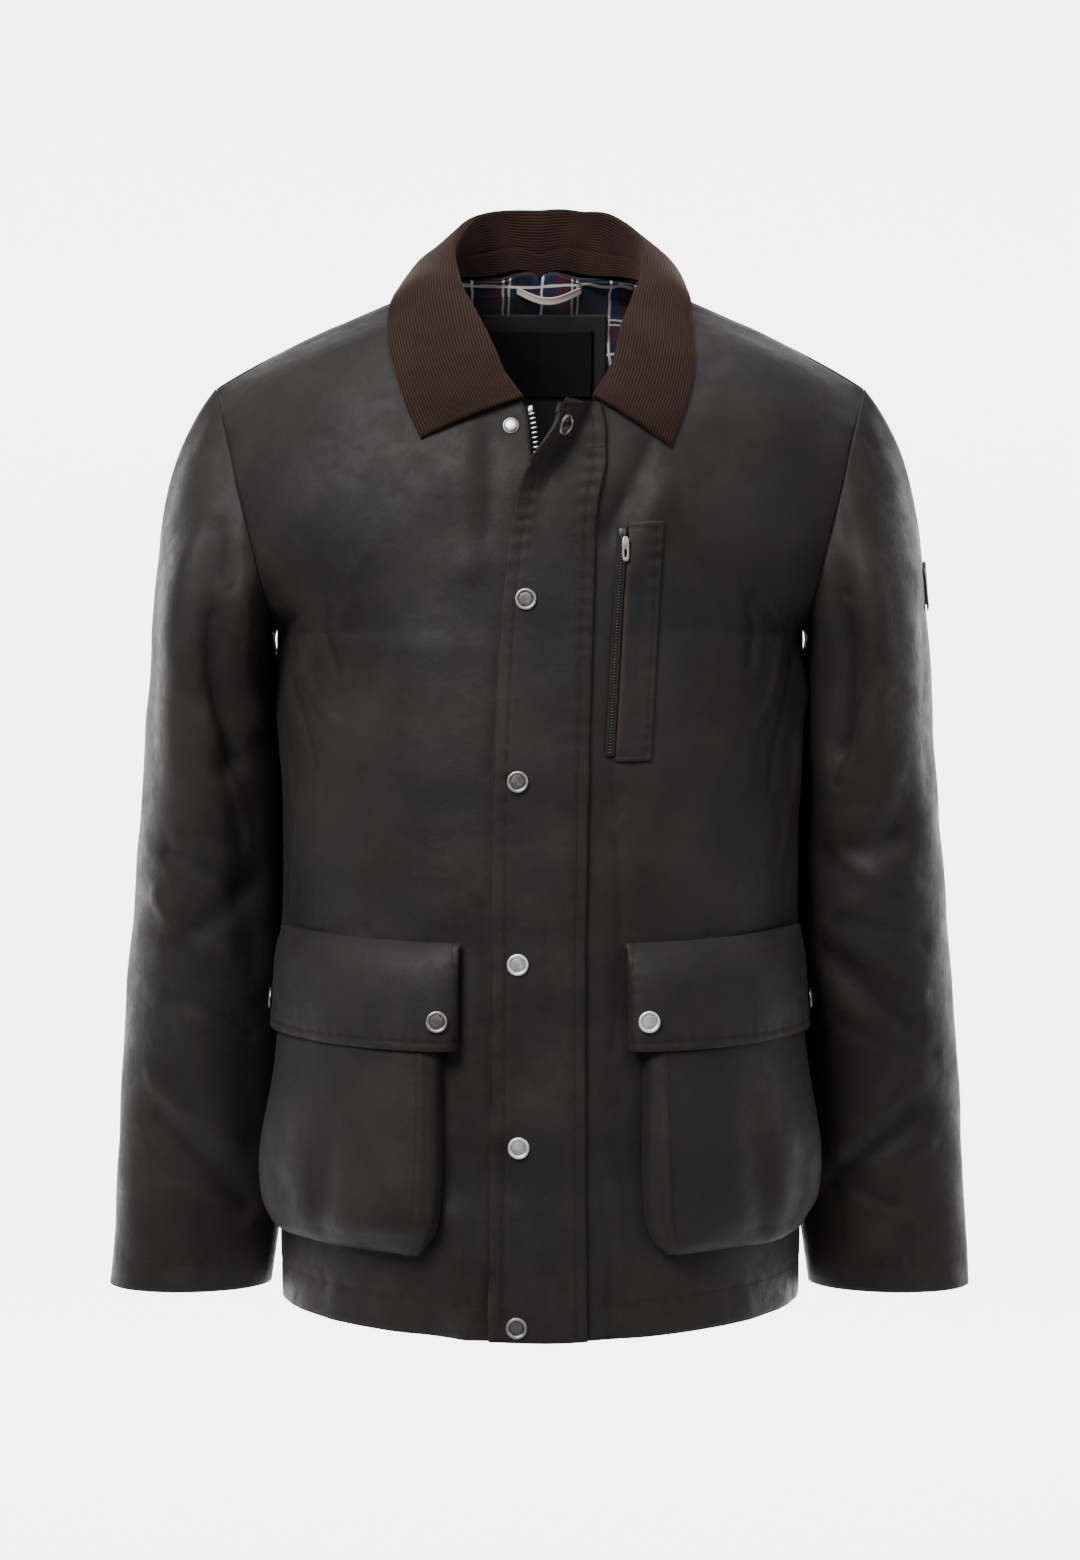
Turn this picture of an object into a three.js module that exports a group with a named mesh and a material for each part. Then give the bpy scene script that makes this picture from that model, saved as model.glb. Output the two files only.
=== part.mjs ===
// A waxed cotton field jacket with a corduroy collar, filled out as it hangs on its wearer.
// Millimetres, +Z up, the front faces -Y and the wearer's left is +X.
// The origin is the middle of the neck opening, level with the points where the shoulders start.
import * as THREE from "three";

// Driving sizes
const CLOTH = 2.0; // waxed shell with its thin lining
const HEM_EXTRA = 1.0; // the turned-up hems are one layer thicker
const HEM_DEPTH = 25;
const CORD_CLOTH = 2.2; // corduroy with its undercollar
const FLAP_CLOTH = 2.4; // two layers of waxed cloth
const TRIM_CLOTH = 1.4; // lining, facing, tape and loop
const PATCH_CLOTH = 1.0; // label and sleeve patch
const SEAM = 0.3; // pieces stand this far apart where they are sewn
const REST_GAP = 1.0; // a laid piece stands this far off what it lies on
const GIRTH_PER_DEGREE = 3.1; // millimetres round the body for each degree
const SLEEVE_PER_DEGREE = 1.15; // and round a sleeve
const RIGHT = -1; // the wearer's right, at -X
const LEFT = 1;
const FRONT_FACE = -1; // the front panels look towards -Y
const BACK_FACE = 1;

const radians = (degrees) => (degrees * Math.PI) / 180;
const mix = (a, b, f) => a + (b - a) * f;
const clamp = (v, low, high) => Math.min(high, Math.max(low, v));
const vector = (x, y, z) => new THREE.Vector3(x, y, z);
const steps = (from, to, count) => Array.from({ length: count + 1 }, (_, i) => mix(from, to, i / count));
const smooth = (v) => {
  const f = clamp(v, 0, 1);
  return f * f * (3 - 2 * f);
};

// Rows of numbers with a name for each column
function table(columns, rows) {
  return rows.map((row) => Object.fromEntries(columns.map((column, i) => [column, row[i]])));
}

// A smooth blend of every column at row position t, a Catmull-Rom curve through the rows. The outer
// ends turn a corner at the underarm, where the side seam meets the armhole.
function rowAt(rows, t) {
  const i = clamp(Math.floor(t), 0, rows.length - 2);
  const f = t - i;
  const made = {};
  for (const key of Object.keys(rows[0])) {
    if (typeof rows[0][key] !== "number") continue;
    const corner = rows[0].outY !== undefined && key.startsWith("out") ? UNDERARM_ROW : -1;
    const b = rows[i][key];
    const c = rows[i + 1][key];
    const a = i > 0 && i !== corner ? rows[i - 1][key] : 2 * b - c;
    const d = i + 2 < rows.length && i + 1 !== corner ? rows[i + 2][key] : 2 * c - b;
    made[key] = b + 0.5 * f * (c - a + f * (2 * a - 5 * b + 4 * c - d + f * (3 * (b - c) + d - a)));
  }
  return made;
}

// Sections of the front, from the hem up to the shoulder seam. Each runs from its inner end, at the
// front edge or the neckline, to its outer end, at the side seam or the armhole. Turn is how far the
// section bends round, in degrees, and swell pushes its middle out.
const FRONT = table(
  ["name", "inRight", "inLeft", "inY", "inZ", "outX", "outY", "outZ", "turn", "swell"],
  [
    ["hem", 3, 9, -159, -723, 187, -5, -717, 90, 0],
    ["skirt", 3, 9, -158, -620, 188, -5, -616, 90, 0],
    ["pocket", 3, 9, -153, -500, 185, -5, -498, 90, 0],
    ["waist", 3, 9, -148, -390, 183, -5, -388, 90, 0],
    ["chest", 3, 9, -141, -295, 186, -3, -292, 90, 0],
    ["underarm", 3, 9, -135, -230, 187, 0, -243, 88, 0],
    ["scyeLow", 3, 9, -130, -192, 189, -44, -229, 74, 1],
    ["scyeMid", 3, 10, -123, -155, 195, -68, -200, 64, 3],
    ["scyeHigh", 5, 21, -115, -118, 204, -67, -164, 58, 5],
    ["neckEnd", 12, 38, -103, -78, 212, -54, -134, 54, 6],
    ["neckLow", 33, 50, -92, -66, 218, -38, -109, 54, 8],
    ["neckMid", 53, 62, -72, -44, 223, -25, -91, 54, 9],
    ["neckHigh", 68, 73, -44, -17, 226, -14, -79, 54, 8],
    ["shoulder", 75, 79, -14, 2, 229, -6, -71, 50, 0],
  ],
);

// The same for each half of the back, from the centre back line or the back neckline
const BACK = table(
  ["name", "inRight", "inLeft", "inY", "inZ", "outX", "outY", "outZ", "turn", "swell"],
  [
    ["hem", 0, 0, 140, -723, 187, -5, -717, 90, 0],
    ["skirt", 0, 0, 135, -620, 188, -5, -616, 90, 0],
    ["seat", 0, 0, 128, -500, 185, -5, -498, 90, 0],
    ["waist", 0, 0, 124, -390, 183, -5, -388, 90, 0],
    ["blade", 0, 0, 128, -295, 186, -3, -292, 90, 0],
    ["underarm", 0, 0, 131, -230, 187, 0, -243, 88, 0],
    ["scyeLow", 0, 0, 131, -175, 190, 50, -228, 74, 1],
    ["scyeMid", 0, 0, 127, -122, 198, 74, -190, 64, 3],
    ["scyeHigh", 0, 0, 115, -68, 207, 72, -146, 58, 6],
    ["neckBack", 0, 0, 82, 6, 215, 52, -112, 56, 17],
    ["neckWide", 32, 32, 76, 7, 220, 32, -93, 56, 19],
    ["neckSide", 58, 60, 52, 7, 225, 14, -80, 56, 14],
    ["shoulder", 75, 79, -14, 2, 229, -6, -71, 50, 0],
  ],
);
const UNDERARM_ROW = 5;
const NECK_ROW = 9; // the row that reaches the neckline, in both tables
const ROW_HEIGHT = 100; // between the low rows, near enough for the hem

// Soft folds on the body: from one place to another, in degrees round from the centre front
// (negative on the wearer's right) and in height; height is outwards, so a trough is negative
const FOLD_COLUMNS = ["name", "from", "fromZ", "to", "toZ", "width", "height"];
const BODY_FOLDS = table(FOLD_COLUMNS, [
  ["rightNeckTrough", -11, -105, -14, -165, 12, -2.2],
  ["rightNeckRidge", -17, -110, -17, -190, 14, 2.4],
  ["rightChestRoll", -24, -250, -22, -420, 26, 2.6],
  ["rightArmpitDrag", -80, -300, -52, -235, 20, 3.4],
  ["rightSideTrough", -80, -420, -70, -330, 22, -3.0],
  ["rightSkirtRidge", -19, -640, -14, -715, 13, 3.4],
  ["rightSkirtTrough", -27, -690, -24, -722, 14, -2.6],
  ["leftNeckTrough", 21, -100, 15, -165, 11, -3.4],
  ["leftNeckRidge", 31, -108, 22, -190, 14, 2.8],
  ["leftArmpitRidge", 66, -210, 82, -285, 14, 4.0],
  ["leftArmpitTrough", 56, -185, 72, -250, 15, -3.4],
  ["leftSideRidge", 78, -290, 74, -430, 18, 4.2],
  ["leftSkirtTrough", 13, -560, 13, -715, 15, -2.4],
  ["backRightBlade", -150, -170, -112, -330, 22, 3.6],
  ["backLeftBlade", 152, -165, 110, -345, 24, 3.4],
  ["backWaistTrough", -168, -330, -120, -440, 20, -3.6],
  ["backWaistPull", 165, -350, 122, -455, 22, -3.2],
  ["backSkirtRight", -146, -520, -140, -720, 28, 4.4],
  ["backSkirtLeft", 158, -540, 150, -720, 30, 4.0],
  ["backSkirtHollow", -178, -470, 176, -700, 26, -2.8],
  ["sideRightHem", -92, -560, -90, -715, 24, -2.6],
  ["sideLeftHem", 94, -570, 92, -715, 24, -2.4],
]);

// The shorter way round between two directions
const turnTo = (degrees) => ((((degrees + 180) % 360) + 360) % 360) - 180;

// Height of the folds at a place, each a soft ridge round a line
function foldHeight(folds, across, up, perDegree) {
  let height = 0;
  for (const fold of folds) {
    const runX = turnTo(fold.to - fold.from) * perDegree;
    const runZ = fold.toZ - fold.fromZ;
    const x = turnTo(across - fold.from) * perDegree;
    const z = up - fold.fromZ;
    const f = clamp((x * runX + z * runZ) / (runX * runX + runZ * runZ), 0, 1);
    const distance = Math.hypot(x - f * runX, z - f * runZ);
    height += fold.height * Math.exp(-((distance / fold.width) ** 2));
  }
  return height;
}

// A point of the plain panel, in the wearer's-left sense: s goes out to the side, t goes up the rows
function plainPoint(rows, face, hand, s, t) {
  const r = rowAt(rows, t);
  const turn = radians(r.turn);
  const angle = s * turn;
  const x = mix(hand === RIGHT ? r.inRight : r.inLeft, r.outX, Math.sin(angle) / Math.sin(turn));
  const y = mix(r.inY, r.outY, (1 - Math.cos(angle)) / (1 - Math.cos(turn)));
  const lift = r.swell * Math.sin(Math.PI * clamp(s, 0, 1));
  return vector(x, y + face * lift, mix(r.inZ, r.outZ, s));
}

// How freely a place on a panel may move: not at the armhole, neckline and shoulder seams
function freedom(rows, s, t) {
  const top = rows.length - 1;
  const armhole = t > UNDERARM_ROW - 1 ? smooth((1 - s) * 6 + (UNDERARM_ROW - t) * 1.2) : 1;
  const neck = t > NECK_ROW - 1 ? smooth(s * 7 + (NECK_ROW - t)) : 1;
  return armhole * neck * smooth((top - t) / 2);
}

// The outer face of a panel at (s, t) with its folds, and the way out of it
function panelAt(rows, face, hand, s, t) {
  const step = 0.002;
  const at = (u, v) => plainPoint(rows, face, hand, u, v);
  const along = at(s + step, t).sub(at(s - step, t));
  const up = at(s, t + step).sub(at(s, t - step));
  const normal = along.cross(up).multiplyScalar(-face).normalize();
  const point = at(s, t);
  const around = face === FRONT_FACE ? 90 * s : 180 - 90 * s;
  const fold = foldHeight(BODY_FOLDS, hand * around, point.z, GIRTH_PER_DEGREE);
  point.addScaledVector(normal, fold * freedom(rows, s, t));
  point.x *= hand;
  normal.x *= hand;
  return { point, normal };
}
const frontAt = (hand, s, t) => panelAt(FRONT, FRONT_FACE, hand, s, t);
// The two halves of the back share their centre line, where the way out has no sideways part
function backAt(hand, s, t) {
  if (s > 0 || t > NECK_ROW) return panelAt(BACK, BACK_FACE, hand, s, t);
  const { point, normal } = panelAt(BACK, BACK_FACE, LEFT, s, t);
  return { point, normal: normal.setX(0).normalize() };
}

// The row position where a height is reached, found by halving; sAt gives s for a row position
function rowOf(rows, z, sAt) {
  let low = 0;
  let high = rows.length - 1;
  for (let i = 0; i < 26; i += 1) {
    const t = (low + high) / 2;
    const r = rowAt(rows, t);
    if (mix(r.inZ, r.outZ, sAt(t)) < z) low = t;
    else high = t;
  }
  return (low + high) / 2;
}

// The (s, t) of the place on a panel that lies at x across and z up
function placeOn(rows, hand, x, z) {
  const sAt = (t) => {
    const r = rowAt(rows, t);
    const turn = radians(r.turn);
    const inX = hand === RIGHT ? r.inRight : r.inLeft;
    const reach = clamp((hand * x - inX) / (r.outX - inX), -0.35, 1);
    return Math.asin(reach * Math.sin(turn)) / turn;
  };
  const t = rowOf(rows, z, sAt);
  return { s: sAt(t), t };
}
const frontLevel = (hand, s, z) => frontAt(hand, s, rowOf(FRONT, z, () => s));

// The front at x across and z up; near the middle it is the fuller of the two sides
function chestAt(x, z) {
  const places = [RIGHT, LEFT].map((hand) => {
    const { s, t } = placeOn(FRONT, hand, x, z);
    return frontAt(hand, s, t);
  });
  if (Math.abs(x) > 60) return places[x < 0 ? 0 : 1];
  return places[0].point.y < places[1].point.y ? places[0] : places[1];
}

// A sheet of cloth made of patches that share their edge points, closed into a wall
class Cloth {
  constructor() {
    this.outer = [];
    this.inner = [];
    this.faces = [];
    this.known = new Map();
  }

  point({ outer, inner }) {
    const key = [outer.x, outer.y, outer.z].map((v) => Math.round(v * 1000)).join();
    if (!this.known.has(key)) {
      this.known.set(key, this.outer.length);
      this.outer.push(outer);
      this.inner.push(inner);
    }
    return this.known.get(key);
  }

  // A patch from rows of { outer, inner }; each quad is cut along its shorter diagonal
  patch(rows, flip = false) {
    const index = rows.map((row) => row.map((p) => this.point(p)));
    for (let j = 0; j + 1 < index.length; j += 1) {
      for (let i = 0; i + 1 < index[j].length; i += 1) {
        const [a, b, c, d] = [index[j][i], index[j][i + 1], index[j + 1][i + 1], index[j + 1][i]];
        const short = this.outer[a].distanceTo(this.outer[c]) <= this.outer[b].distanceTo(this.outer[d]);
        const pair = short ? [[a, b, c], [a, c, d]] : [[a, b, d], [b, c, d]];
        for (const [p, q, r] of pair) {
          if (p !== q && q !== r && r !== p) this.faces.push(flip ? [p, r, q] : [p, q, r]);
        }
      }
    }
    return this;
  }

  // Outer faces, inner faces turned round, and a rim along every open edge
  solid() {
    const count = this.outer.length;
    const edges = new Set(this.faces.flatMap(([a, b, c]) => [`${a},${b}`, `${b},${c}`, `${c},${a}`]));
    const all = this.faces.flatMap(([a, b, c]) => [[a, b, c], [a + count, c + count, b + count]]);
    for (const edge of edges) {
      const [a, b] = edge.split(",").map(Number);
      if (!edges.has(`${b},${a}`)) all.push([b, a, a + count], [b, a + count, b + count]);
    }
    return closed([...this.outer, ...this.inner], all);
  }
}

// A geometry from points and faces, turned the right way out
function closed(points, faces) {
  let volume = 0;
  for (const [a, b, c] of faces) volume += points[a].dot(points[b].clone().cross(points[c]));
  const order = volume < 0 ? faces.map(([a, b, c]) => [a, c, b]) : faces;
  const geometry = new THREE.BufferGeometry();
  geometry.setAttribute("position", new THREE.Float32BufferAttribute(points.flatMap((p) => p.toArray()), 3));
  geometry.setIndex(order.flat());
  return geometry;
}

// The two faces of a wall whose outer face lies lift above a surface place
function layer({ point, normal }, lift, thickness) {
  const outer = point.clone().addScaledVector(normal, lift);
  return { outer, inner: outer.clone().addScaledVector(normal, -thickness) };
}

// A wall whose outer face is shape(u, v), with its thickness laid along the way out of it
function shapedWall(shape, us, vs, thickness, outwards) {
  const step = 1e-3;
  const wall = (u, v) => {
    const along = shape(u + step, v).sub(shape(u - step, v));
    const down = shape(u, v + step).sub(shape(u, v - step));
    const normal = along.cross(down).normalize().multiplyScalar(outwards);
    return layer({ point: shape(u, v), normal }, 0, thickness);
  };
  return new Cloth().patch(vs.map((v) => us.map((u) => wall(u, v)))).solid();
}

const finish = (color, roughness, metalness) => new THREE.MeshStandardMaterial({ color, roughness, metalness });
const WAXED = finish(0x37332f, 0.62, 0);
const CORDUROY = finish(0x3b2320, 0.92, 0);
const PLAID = finish(0x3d2430, 0.85, 0);
const BLACK = finish(0x0f0f10, 0.6, 0);
const TAPE = finish(0x1b1a19, 0.8, 0);
const WEBBING = finish(0xb9a5a3, 0.85, 0);
const STEEL = finish(0xb4b4b6, 0.32, 1);

const jacket = new THREE.Group();
function add(name, geometry, material) {
  const mesh = new THREE.Mesh(geometry, material);
  mesh.name = name;
  jacket.add(mesh);
  return mesh;
}

// Body panels
const FRONT_COLUMNS = 11;
const BACK_COLUMNS = 8;
const LOW_PARTS = 3; // grid rows for each table row below the underarm, and above it
const HIGH_PARTS = 2;

function rowStops(rows) {
  const parts = (i) => (i < UNDERARM_ROW ? LOW_PARTS : HIGH_PARTS);
  const stops = rows.slice(1).flatMap((_, i) => steps(i, i + 1, parts(i)).slice(0, -1));
  return [...stops, rows.length - 1];
}
const hemmed = (height) => CLOTH + HEM_EXTRA * smooth((HEM_DEPTH - height) / 6 + 0.5);

// Where a panel meets the next one its edge is drawn back, and its wall kept on its own side
function keepBehindSeam({ outer, inner }, face) {
  inner.y = face === FRONT_FACE ? Math.min(inner.y, outer.y) : Math.max(inner.y, outer.y);
  outer.y += (face * SEAM) / 2;
  inner.y += (face * SEAM) / 2;
}

function panelGrid(rows, place, face, hand, columns) {
  const top = rows.length - 1;
  return rowStops(rows).map((t) =>
    steps(0, 1, columns).map((s) => {
      const wall = layer(place(hand, s, t), 0, hemmed(t * ROW_HEIGHT));
      if (t === top || (s === 1 && t <= UNDERARM_ROW)) keepBehindSeam(wall, face);
      return wall;
    }),
  );
}

for (const [name, hand] of [["front_right", RIGHT], ["front_left", LEFT]]) {
  add(name, new Cloth().patch(panelGrid(FRONT, frontAt, FRONT_FACE, hand, FRONT_COLUMNS)).solid(), WAXED);
}
const back = new Cloth();
back.patch(panelGrid(BACK, backAt, BACK_FACE, RIGHT, BACK_COLUMNS));
back.patch(panelGrid(BACK, backAt, BACK_FACE, LEFT, BACK_COLUMNS), true);
add("back", back.solid(), WAXED);

// Sleeves: rings from the biceps to the cuff, and a cap between the armhole and the first ring.
// Around a ring 0 degrees is the outer line, 90 the front, 180 the inner line and 270 the back.
const SLEEVE = table(
  ["name", "outX", "inX", "midY", "halfDepth", "outZ", "inZ"],
  [
    ["biceps", 279, 188.2, 14, 84, -268, -286],
    ["upper", 285, 184.9, 22, 79, -345, -355],
    ["elbow", 293, 183, 24, 70, -440, -445],
    ["forearm", 302, 184.5, 24, 58, -550, -552],
    ["wrist", 308, 186, 24, 49, -645, -645],
    ["cuff", 312, 195, 20, 43, -719, -717],
  ],
);
const CAP_ROWS = 1.6; // the cap counts as this many rows of the sleeve
const SLEEVE_END = CAP_ROWS + SLEEVE.length - 1;
const SLEEVE_ROW_HEIGHT = 90;
const INNER_LINE = 180;
const FLAT_INNER = 18; // degrees each side of the inner line that stay flat beside the body

// Folds on each sleeve, in degrees round the ring and in height
const SLEEVE_FOLDS = {
  [RIGHT]: table(FOLD_COLUMNS, [
    ["capTrough", 72, -165, 112, -330, 14, -7.5],
    ["capRidge", 98, -165, 135, -300, 13, 5.5],
    ["outerRidge", 48, -190, 62, -330, 17, 3.0],
    ["innerTrough", 118, -340, 128, -470, 17, -5.0],
    ["elbowCrease", 80, -455, 135, -420, 13, -3.8],
    ["forearmCrease", 60, -590, 125, -655, 13, -4.0],
    ["wristRidge", 85, -520, 110, -600, 16, 3.0],
    ["backElbowOne", 215, -400, 300, -440, 14, -4.6],
    ["backElbowTwo", 235, -475, 310, -455, 14, -4.0],
    ["backRidge", 250, -200, 262, -360, 18, 3.6],
    ["backForearm", 240, -560, 285, -620, 14, -3.4],
  ]),
  [LEFT]: table(FOLD_COLUMNS, [
    ["capTrough", 104, -195, 118, -320, 13, -7.0],
    ["capRidge", 80, -190, 92, -310, 15, 4.0],
    ["outerHollow", 60, -350, 78, -420, 17, -3.0],
    ["elbowCrease", 72, -385, 128, -400, 13, -4.4],
    ["elbowRidge", 70, -405, 125, -450, 14, 3.4],
    ["lowCrease", 70, -520, 128, -470, 13, -4.2],
    ["forearmRidge", 65, -560, 120, -610, 14, 3.2],
    ["forearmCrease", 72, -590, 125, -640, 13, -4.0],
    ["wristCrease", 90, -655, 130, -620, 13, -3.0],
    ["backElbowOne", 218, -390, 300, -430, 14, -4.6],
    ["backElbowTwo", 230, -470, 306, -500, 14, -4.0],
    ["backRidge", 248, -210, 265, -350, 18, 3.4],
    ["backForearm", 242, -590, 290, -555, 14, -3.4],
  ]),
};

// The armhole edge of a panel, from the shoulder down to the underarm
const armholeEdge = (rows, face) =>
  steps(rows.length - 1, UNDERARM_ROW, 40).map((t) => plainPoint(rows, face, LEFT, 1, t));
const ARMHOLE_FRONT = armholeEdge(FRONT, FRONT_FACE);
const ARMHOLE_BACK = armholeEdge(BACK, BACK_FACE);

// The point a given share of the way along a line of points
function shareAlong(line, share) {
  const lengths = line.map((p, i) => (i ? p.distanceTo(line[i - 1]) : 0));
  let left = clamp(share, 0, 1) * lengths.reduce((a, b) => a + b, 0);
  for (let i = 1; i < line.length; i += 1) {
    if (left <= lengths[i]) return line[i - 1].clone().lerp(line[i], left / lengths[i]);
    left -= lengths[i];
  }
  return line[line.length - 1].clone();
}

function armholeAt(degrees) {
  const d = ((degrees % 360) + 360) % 360;
  return d <= 180 ? shareAlong(ARMHOLE_FRONT, d / 180) : shareAlong(ARMHOLE_BACK, (360 - d) / 180);
}

function ringPoint(degrees, t) {
  const r = rowAt(SLEEVE, t);
  const c = Math.cos(radians(degrees));
  const x = mix(r.inX, r.outX, (1 + c) / 2);
  return vector(x, r.midY - Math.sin(radians(degrees)) * r.halfDepth, mix(r.outZ, r.inZ, (1 - c) / 2));
}

// Where the cloth heads as it leaves the armhole: out and down at the top, down at the underarm
function leaving(degrees) {
  const under = (1 - Math.cos(radians(degrees))) / 2;
  return vector(mix(0.62, 0.3, under), -0.42 * Math.sin(radians(degrees)), mix(-0.78, -0.9, under)).normalize();
}

// A point of the plain sleeve: t is 0 at the armhole and CAP_ROWS at the biceps ring. The cap is a
// Hermite curve from the armhole to the ring.
function plainSleeve(degrees, t) {
  if (t >= CAP_ROWS) return ringPoint(degrees, t - CAP_ROWS);
  const f = t / CAP_ROWS;
  const start = armholeAt(degrees);
  start.x += SEAM + 0.1;
  const end = ringPoint(degrees, 0);
  const span = start.distanceTo(end);
  const pullOut = leaving(degrees).multiplyScalar(span * 1.05);
  const pullIn = ringPoint(degrees, 0.01).sub(end).setLength(span * 1.1);
  return start
    .multiplyScalar(2 * f ** 3 - 3 * f * f + 1)
    .addScaledVector(pullOut, f ** 3 - 2 * f * f + f)
    .addScaledVector(end, 3 * f * f - 2 * f ** 3)
    .addScaledVector(pullIn, f ** 3 - f * f);
}

function sleeveAt(hand, degrees, t) {
  const around = plainSleeve(degrees + 0.5, t).sub(plainSleeve(degrees - 0.5, t));
  const down = plainSleeve(degrees, t + 0.01).sub(plainSleeve(degrees, Math.max(t - 0.01, 0)));
  const normal = around.cross(down).normalize();
  const point = plainSleeve(degrees, t);
  const fold = foldHeight(SLEEVE_FOLDS[hand], degrees, point.z, SLEEVE_PER_DEGREE);
  const free = smooth((Math.abs(degrees - INNER_LINE) - FLAT_INNER) / 30);
  point.addScaledVector(normal, fold * smooth(t * 1.6) * free);
  point.x *= hand;
  normal.x *= hand;
  return { point, normal };
}

const SLEEVE_ROWS = 24;
const SLEEVE_COLUMNS = 20;
function sleeveWall(hand, degrees, t) {
  const wall = layer(sleeveAt(hand, degrees, t), 0, hemmed((SLEEVE_END - t) * SLEEVE_ROW_HEIGHT));
  if (t === 0 && hand * (wall.inner.x - wall.outer.x) < 0) wall.inner.x = wall.outer.x;
  return wall;
}
for (const [name, hand] of [["sleeve_right", RIGHT], ["sleeve_left", LEFT]]) {
  const ring = steps(0, 360, SLEEVE_COLUMNS).map((degrees) => degrees % 360);
  const grid = steps(0, SLEEVE_END, SLEEVE_ROWS).map((t) => ring.map((d) => sleeveWall(hand, d, t)));
  add(name, new Cloth().patch(grid).solid(), WAXED);
}

// The collar: stations from the right front end round the back to the left front end. On is the
// panel whose neckline it is sewn to, at row; fold is the top of its roll, and edge is where the
// free edge of the leaf lies on that panel, gap above it.
const COLLAR = table(
  ["name", "on", "hand", "row", "foldX", "foldY", "foldZ", "edgeX", "edgeZ", "gap", "bow"],
  [
    ["rightEnd", FRONT_FACE, RIGHT, 9.0, -13, -109, -73.5, -82, -103, 1, 1],
    ["rightLow", FRONT_FACE, RIGHT, 9.8, -24, -99, -57, -93, -80, 1, 3],
    ["rightMid", FRONT_FACE, RIGHT, 10.8, -38, -77, -29, -102, -52, 1.2, 5],
    ["rightHigh", FRONT_FACE, RIGHT, 11.8, -50, -44, -5, -106, -30, 1.6, 7],
    ["rightShoulder", FRONT_FACE, RIGHT, 12.8, -58, -14, 12, -104, -14, 3.2, 8],
    ["rightSide", BACK_FACE, RIGHT, 11.3, -61, 22, 33, -97, -13, 4.5, 9],
    ["rightBack", BACK_FACE, RIGHT, 10.2, -49, 57, 51, -66, -16, 3, 7],
    ["rightMiddle", BACK_FACE, RIGHT, 9.5, -26, 72, 55.5, -34, -14, 2, 5],
    ["middle", BACK_FACE, RIGHT, 9.0, 0, 76, 56.5, 0, -13, 1.5, 4],
    ["leftMiddle", BACK_FACE, LEFT, 9.5, 27, 71, 55.5, 34, -14, 2, 5],
    ["leftBack", BACK_FACE, LEFT, 10.2, 53, 56, 52, 68, -16, 3, 7],
    ["leftSide", BACK_FACE, LEFT, 11.3, 73, 22, 34, 100, -14, 4.8, 8],
    ["leftShoulder", FRONT_FACE, LEFT, 12.8, 72, -12, 11, 104, -15, 5.8, 7],
    ["leftHigh", FRONT_FACE, LEFT, 11.8, 65, -40, -7, 106, -31, 1.8, 6],
    ["leftMid", FRONT_FACE, LEFT, 10.8, 56, -71, -32, 107, -54, 1.2, 5],
    ["leftLow", FRONT_FACE, LEFT, 9.8, 48, -94, -58, 101, -80, 1, 3],
    ["leftEnd", FRONT_FACE, LEFT, 9.0, 37, -109, -72, 90, -109, 1, 1],
  ],
);
const ROLL_RADIUS = 3.2; // visible side of the collar's fold
const STAND_CLEAR = 1.5; // the stand starts this far above the neckline

const collarStations = COLLAR.map(({ on, hand, row, foldX, foldY, foldZ, edgeX, edgeZ, gap, bow }) => {
  const [rows, place] = on === FRONT_FACE ? [FRONT, frontAt] : [BACK, backAt];
  const [seamX, seamY, seamZ] = place(hand, 0, row).point.toArray();
  const { s, t } = placeOn(rows, hand, edgeX, edgeZ);
  const [endX, endY, endZ] = layer(place(hand, s, t), CORD_CLOTH + gap, 0).outer.toArray();
  return { seamX, seamY, seamZ, foldX, foldY, foldZ, endX, endY, endZ, bow };
});

// One section of the collar, as places with their way out: up the stand, over the roll and down
// the leaf. The section is flat, with axes across (away from the neck) and up (along the stand).
function collarSection(u) {
  const r = rowAt(collarStations, u);
  const fold = vector(r.foldX, r.foldY, r.foldZ);
  const edge = vector(r.endX, r.endY, r.endZ);
  const seam = vector(r.seamX, r.seamY, r.seamZ);
  const up = fold.clone().sub(seam).normalize();
  const away = edge.clone().sub(fold);
  const across = away.addScaledVector(up, -away.dot(up)).normalize();
  const centre = fold.clone().addScaledVector(up, -ROLL_RADIUS);
  const foot = seam.clone().addScaledVector(up, STAND_CLEAR).addScaledVector(across, -ROLL_RADIUS);
  const reach = edge.clone().sub(centre);
  const turned = Math.atan2(reach.dot(across), reach.dot(up)); // the roll ends where it heads for the edge
  const place = (point, angle) => ({
    point,
    normal: across.clone().multiplyScalar(-Math.cos(angle)).addScaledVector(up, Math.sin(angle)),
  });
  const onRoll = (angle) => {
    const spot = place(centre.clone(), angle);
    spot.point.addScaledVector(spot.normal, ROLL_RADIUS);
    return spot;
  };
  const stand = steps(0, 1, 3).slice(0, -1).map((f) => place(foot.clone().lerp(onRoll(0).point, f), 0));
  const roll = steps(0, turned, 4).map(onRoll);
  const last = roll[roll.length - 1];
  const leaf = steps(0, 1, 5).slice(1).map((f) => {
    const lift = 4 * r.bow * f * (1 - f);
    const lean = Math.atan2(4 * r.bow * (1 - 2 * f), last.point.distanceTo(edge));
    return place(last.point.clone().lerp(edge, f).addScaledVector(last.normal, lift), turned - lean);
  });
  return [...stand, ...roll, ...leaf];
}
const COLLAR_STATIONS = 27;
const collarGrid = steps(0, COLLAR.length - 1, COLLAR_STATIONS).map((u) =>
  collarSection(u).map((place) => layer(place, 0, CORD_CLOTH)),
);
add("collar", new Cloth().patch(collarGrid).solid(), CORDUROY);

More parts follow.
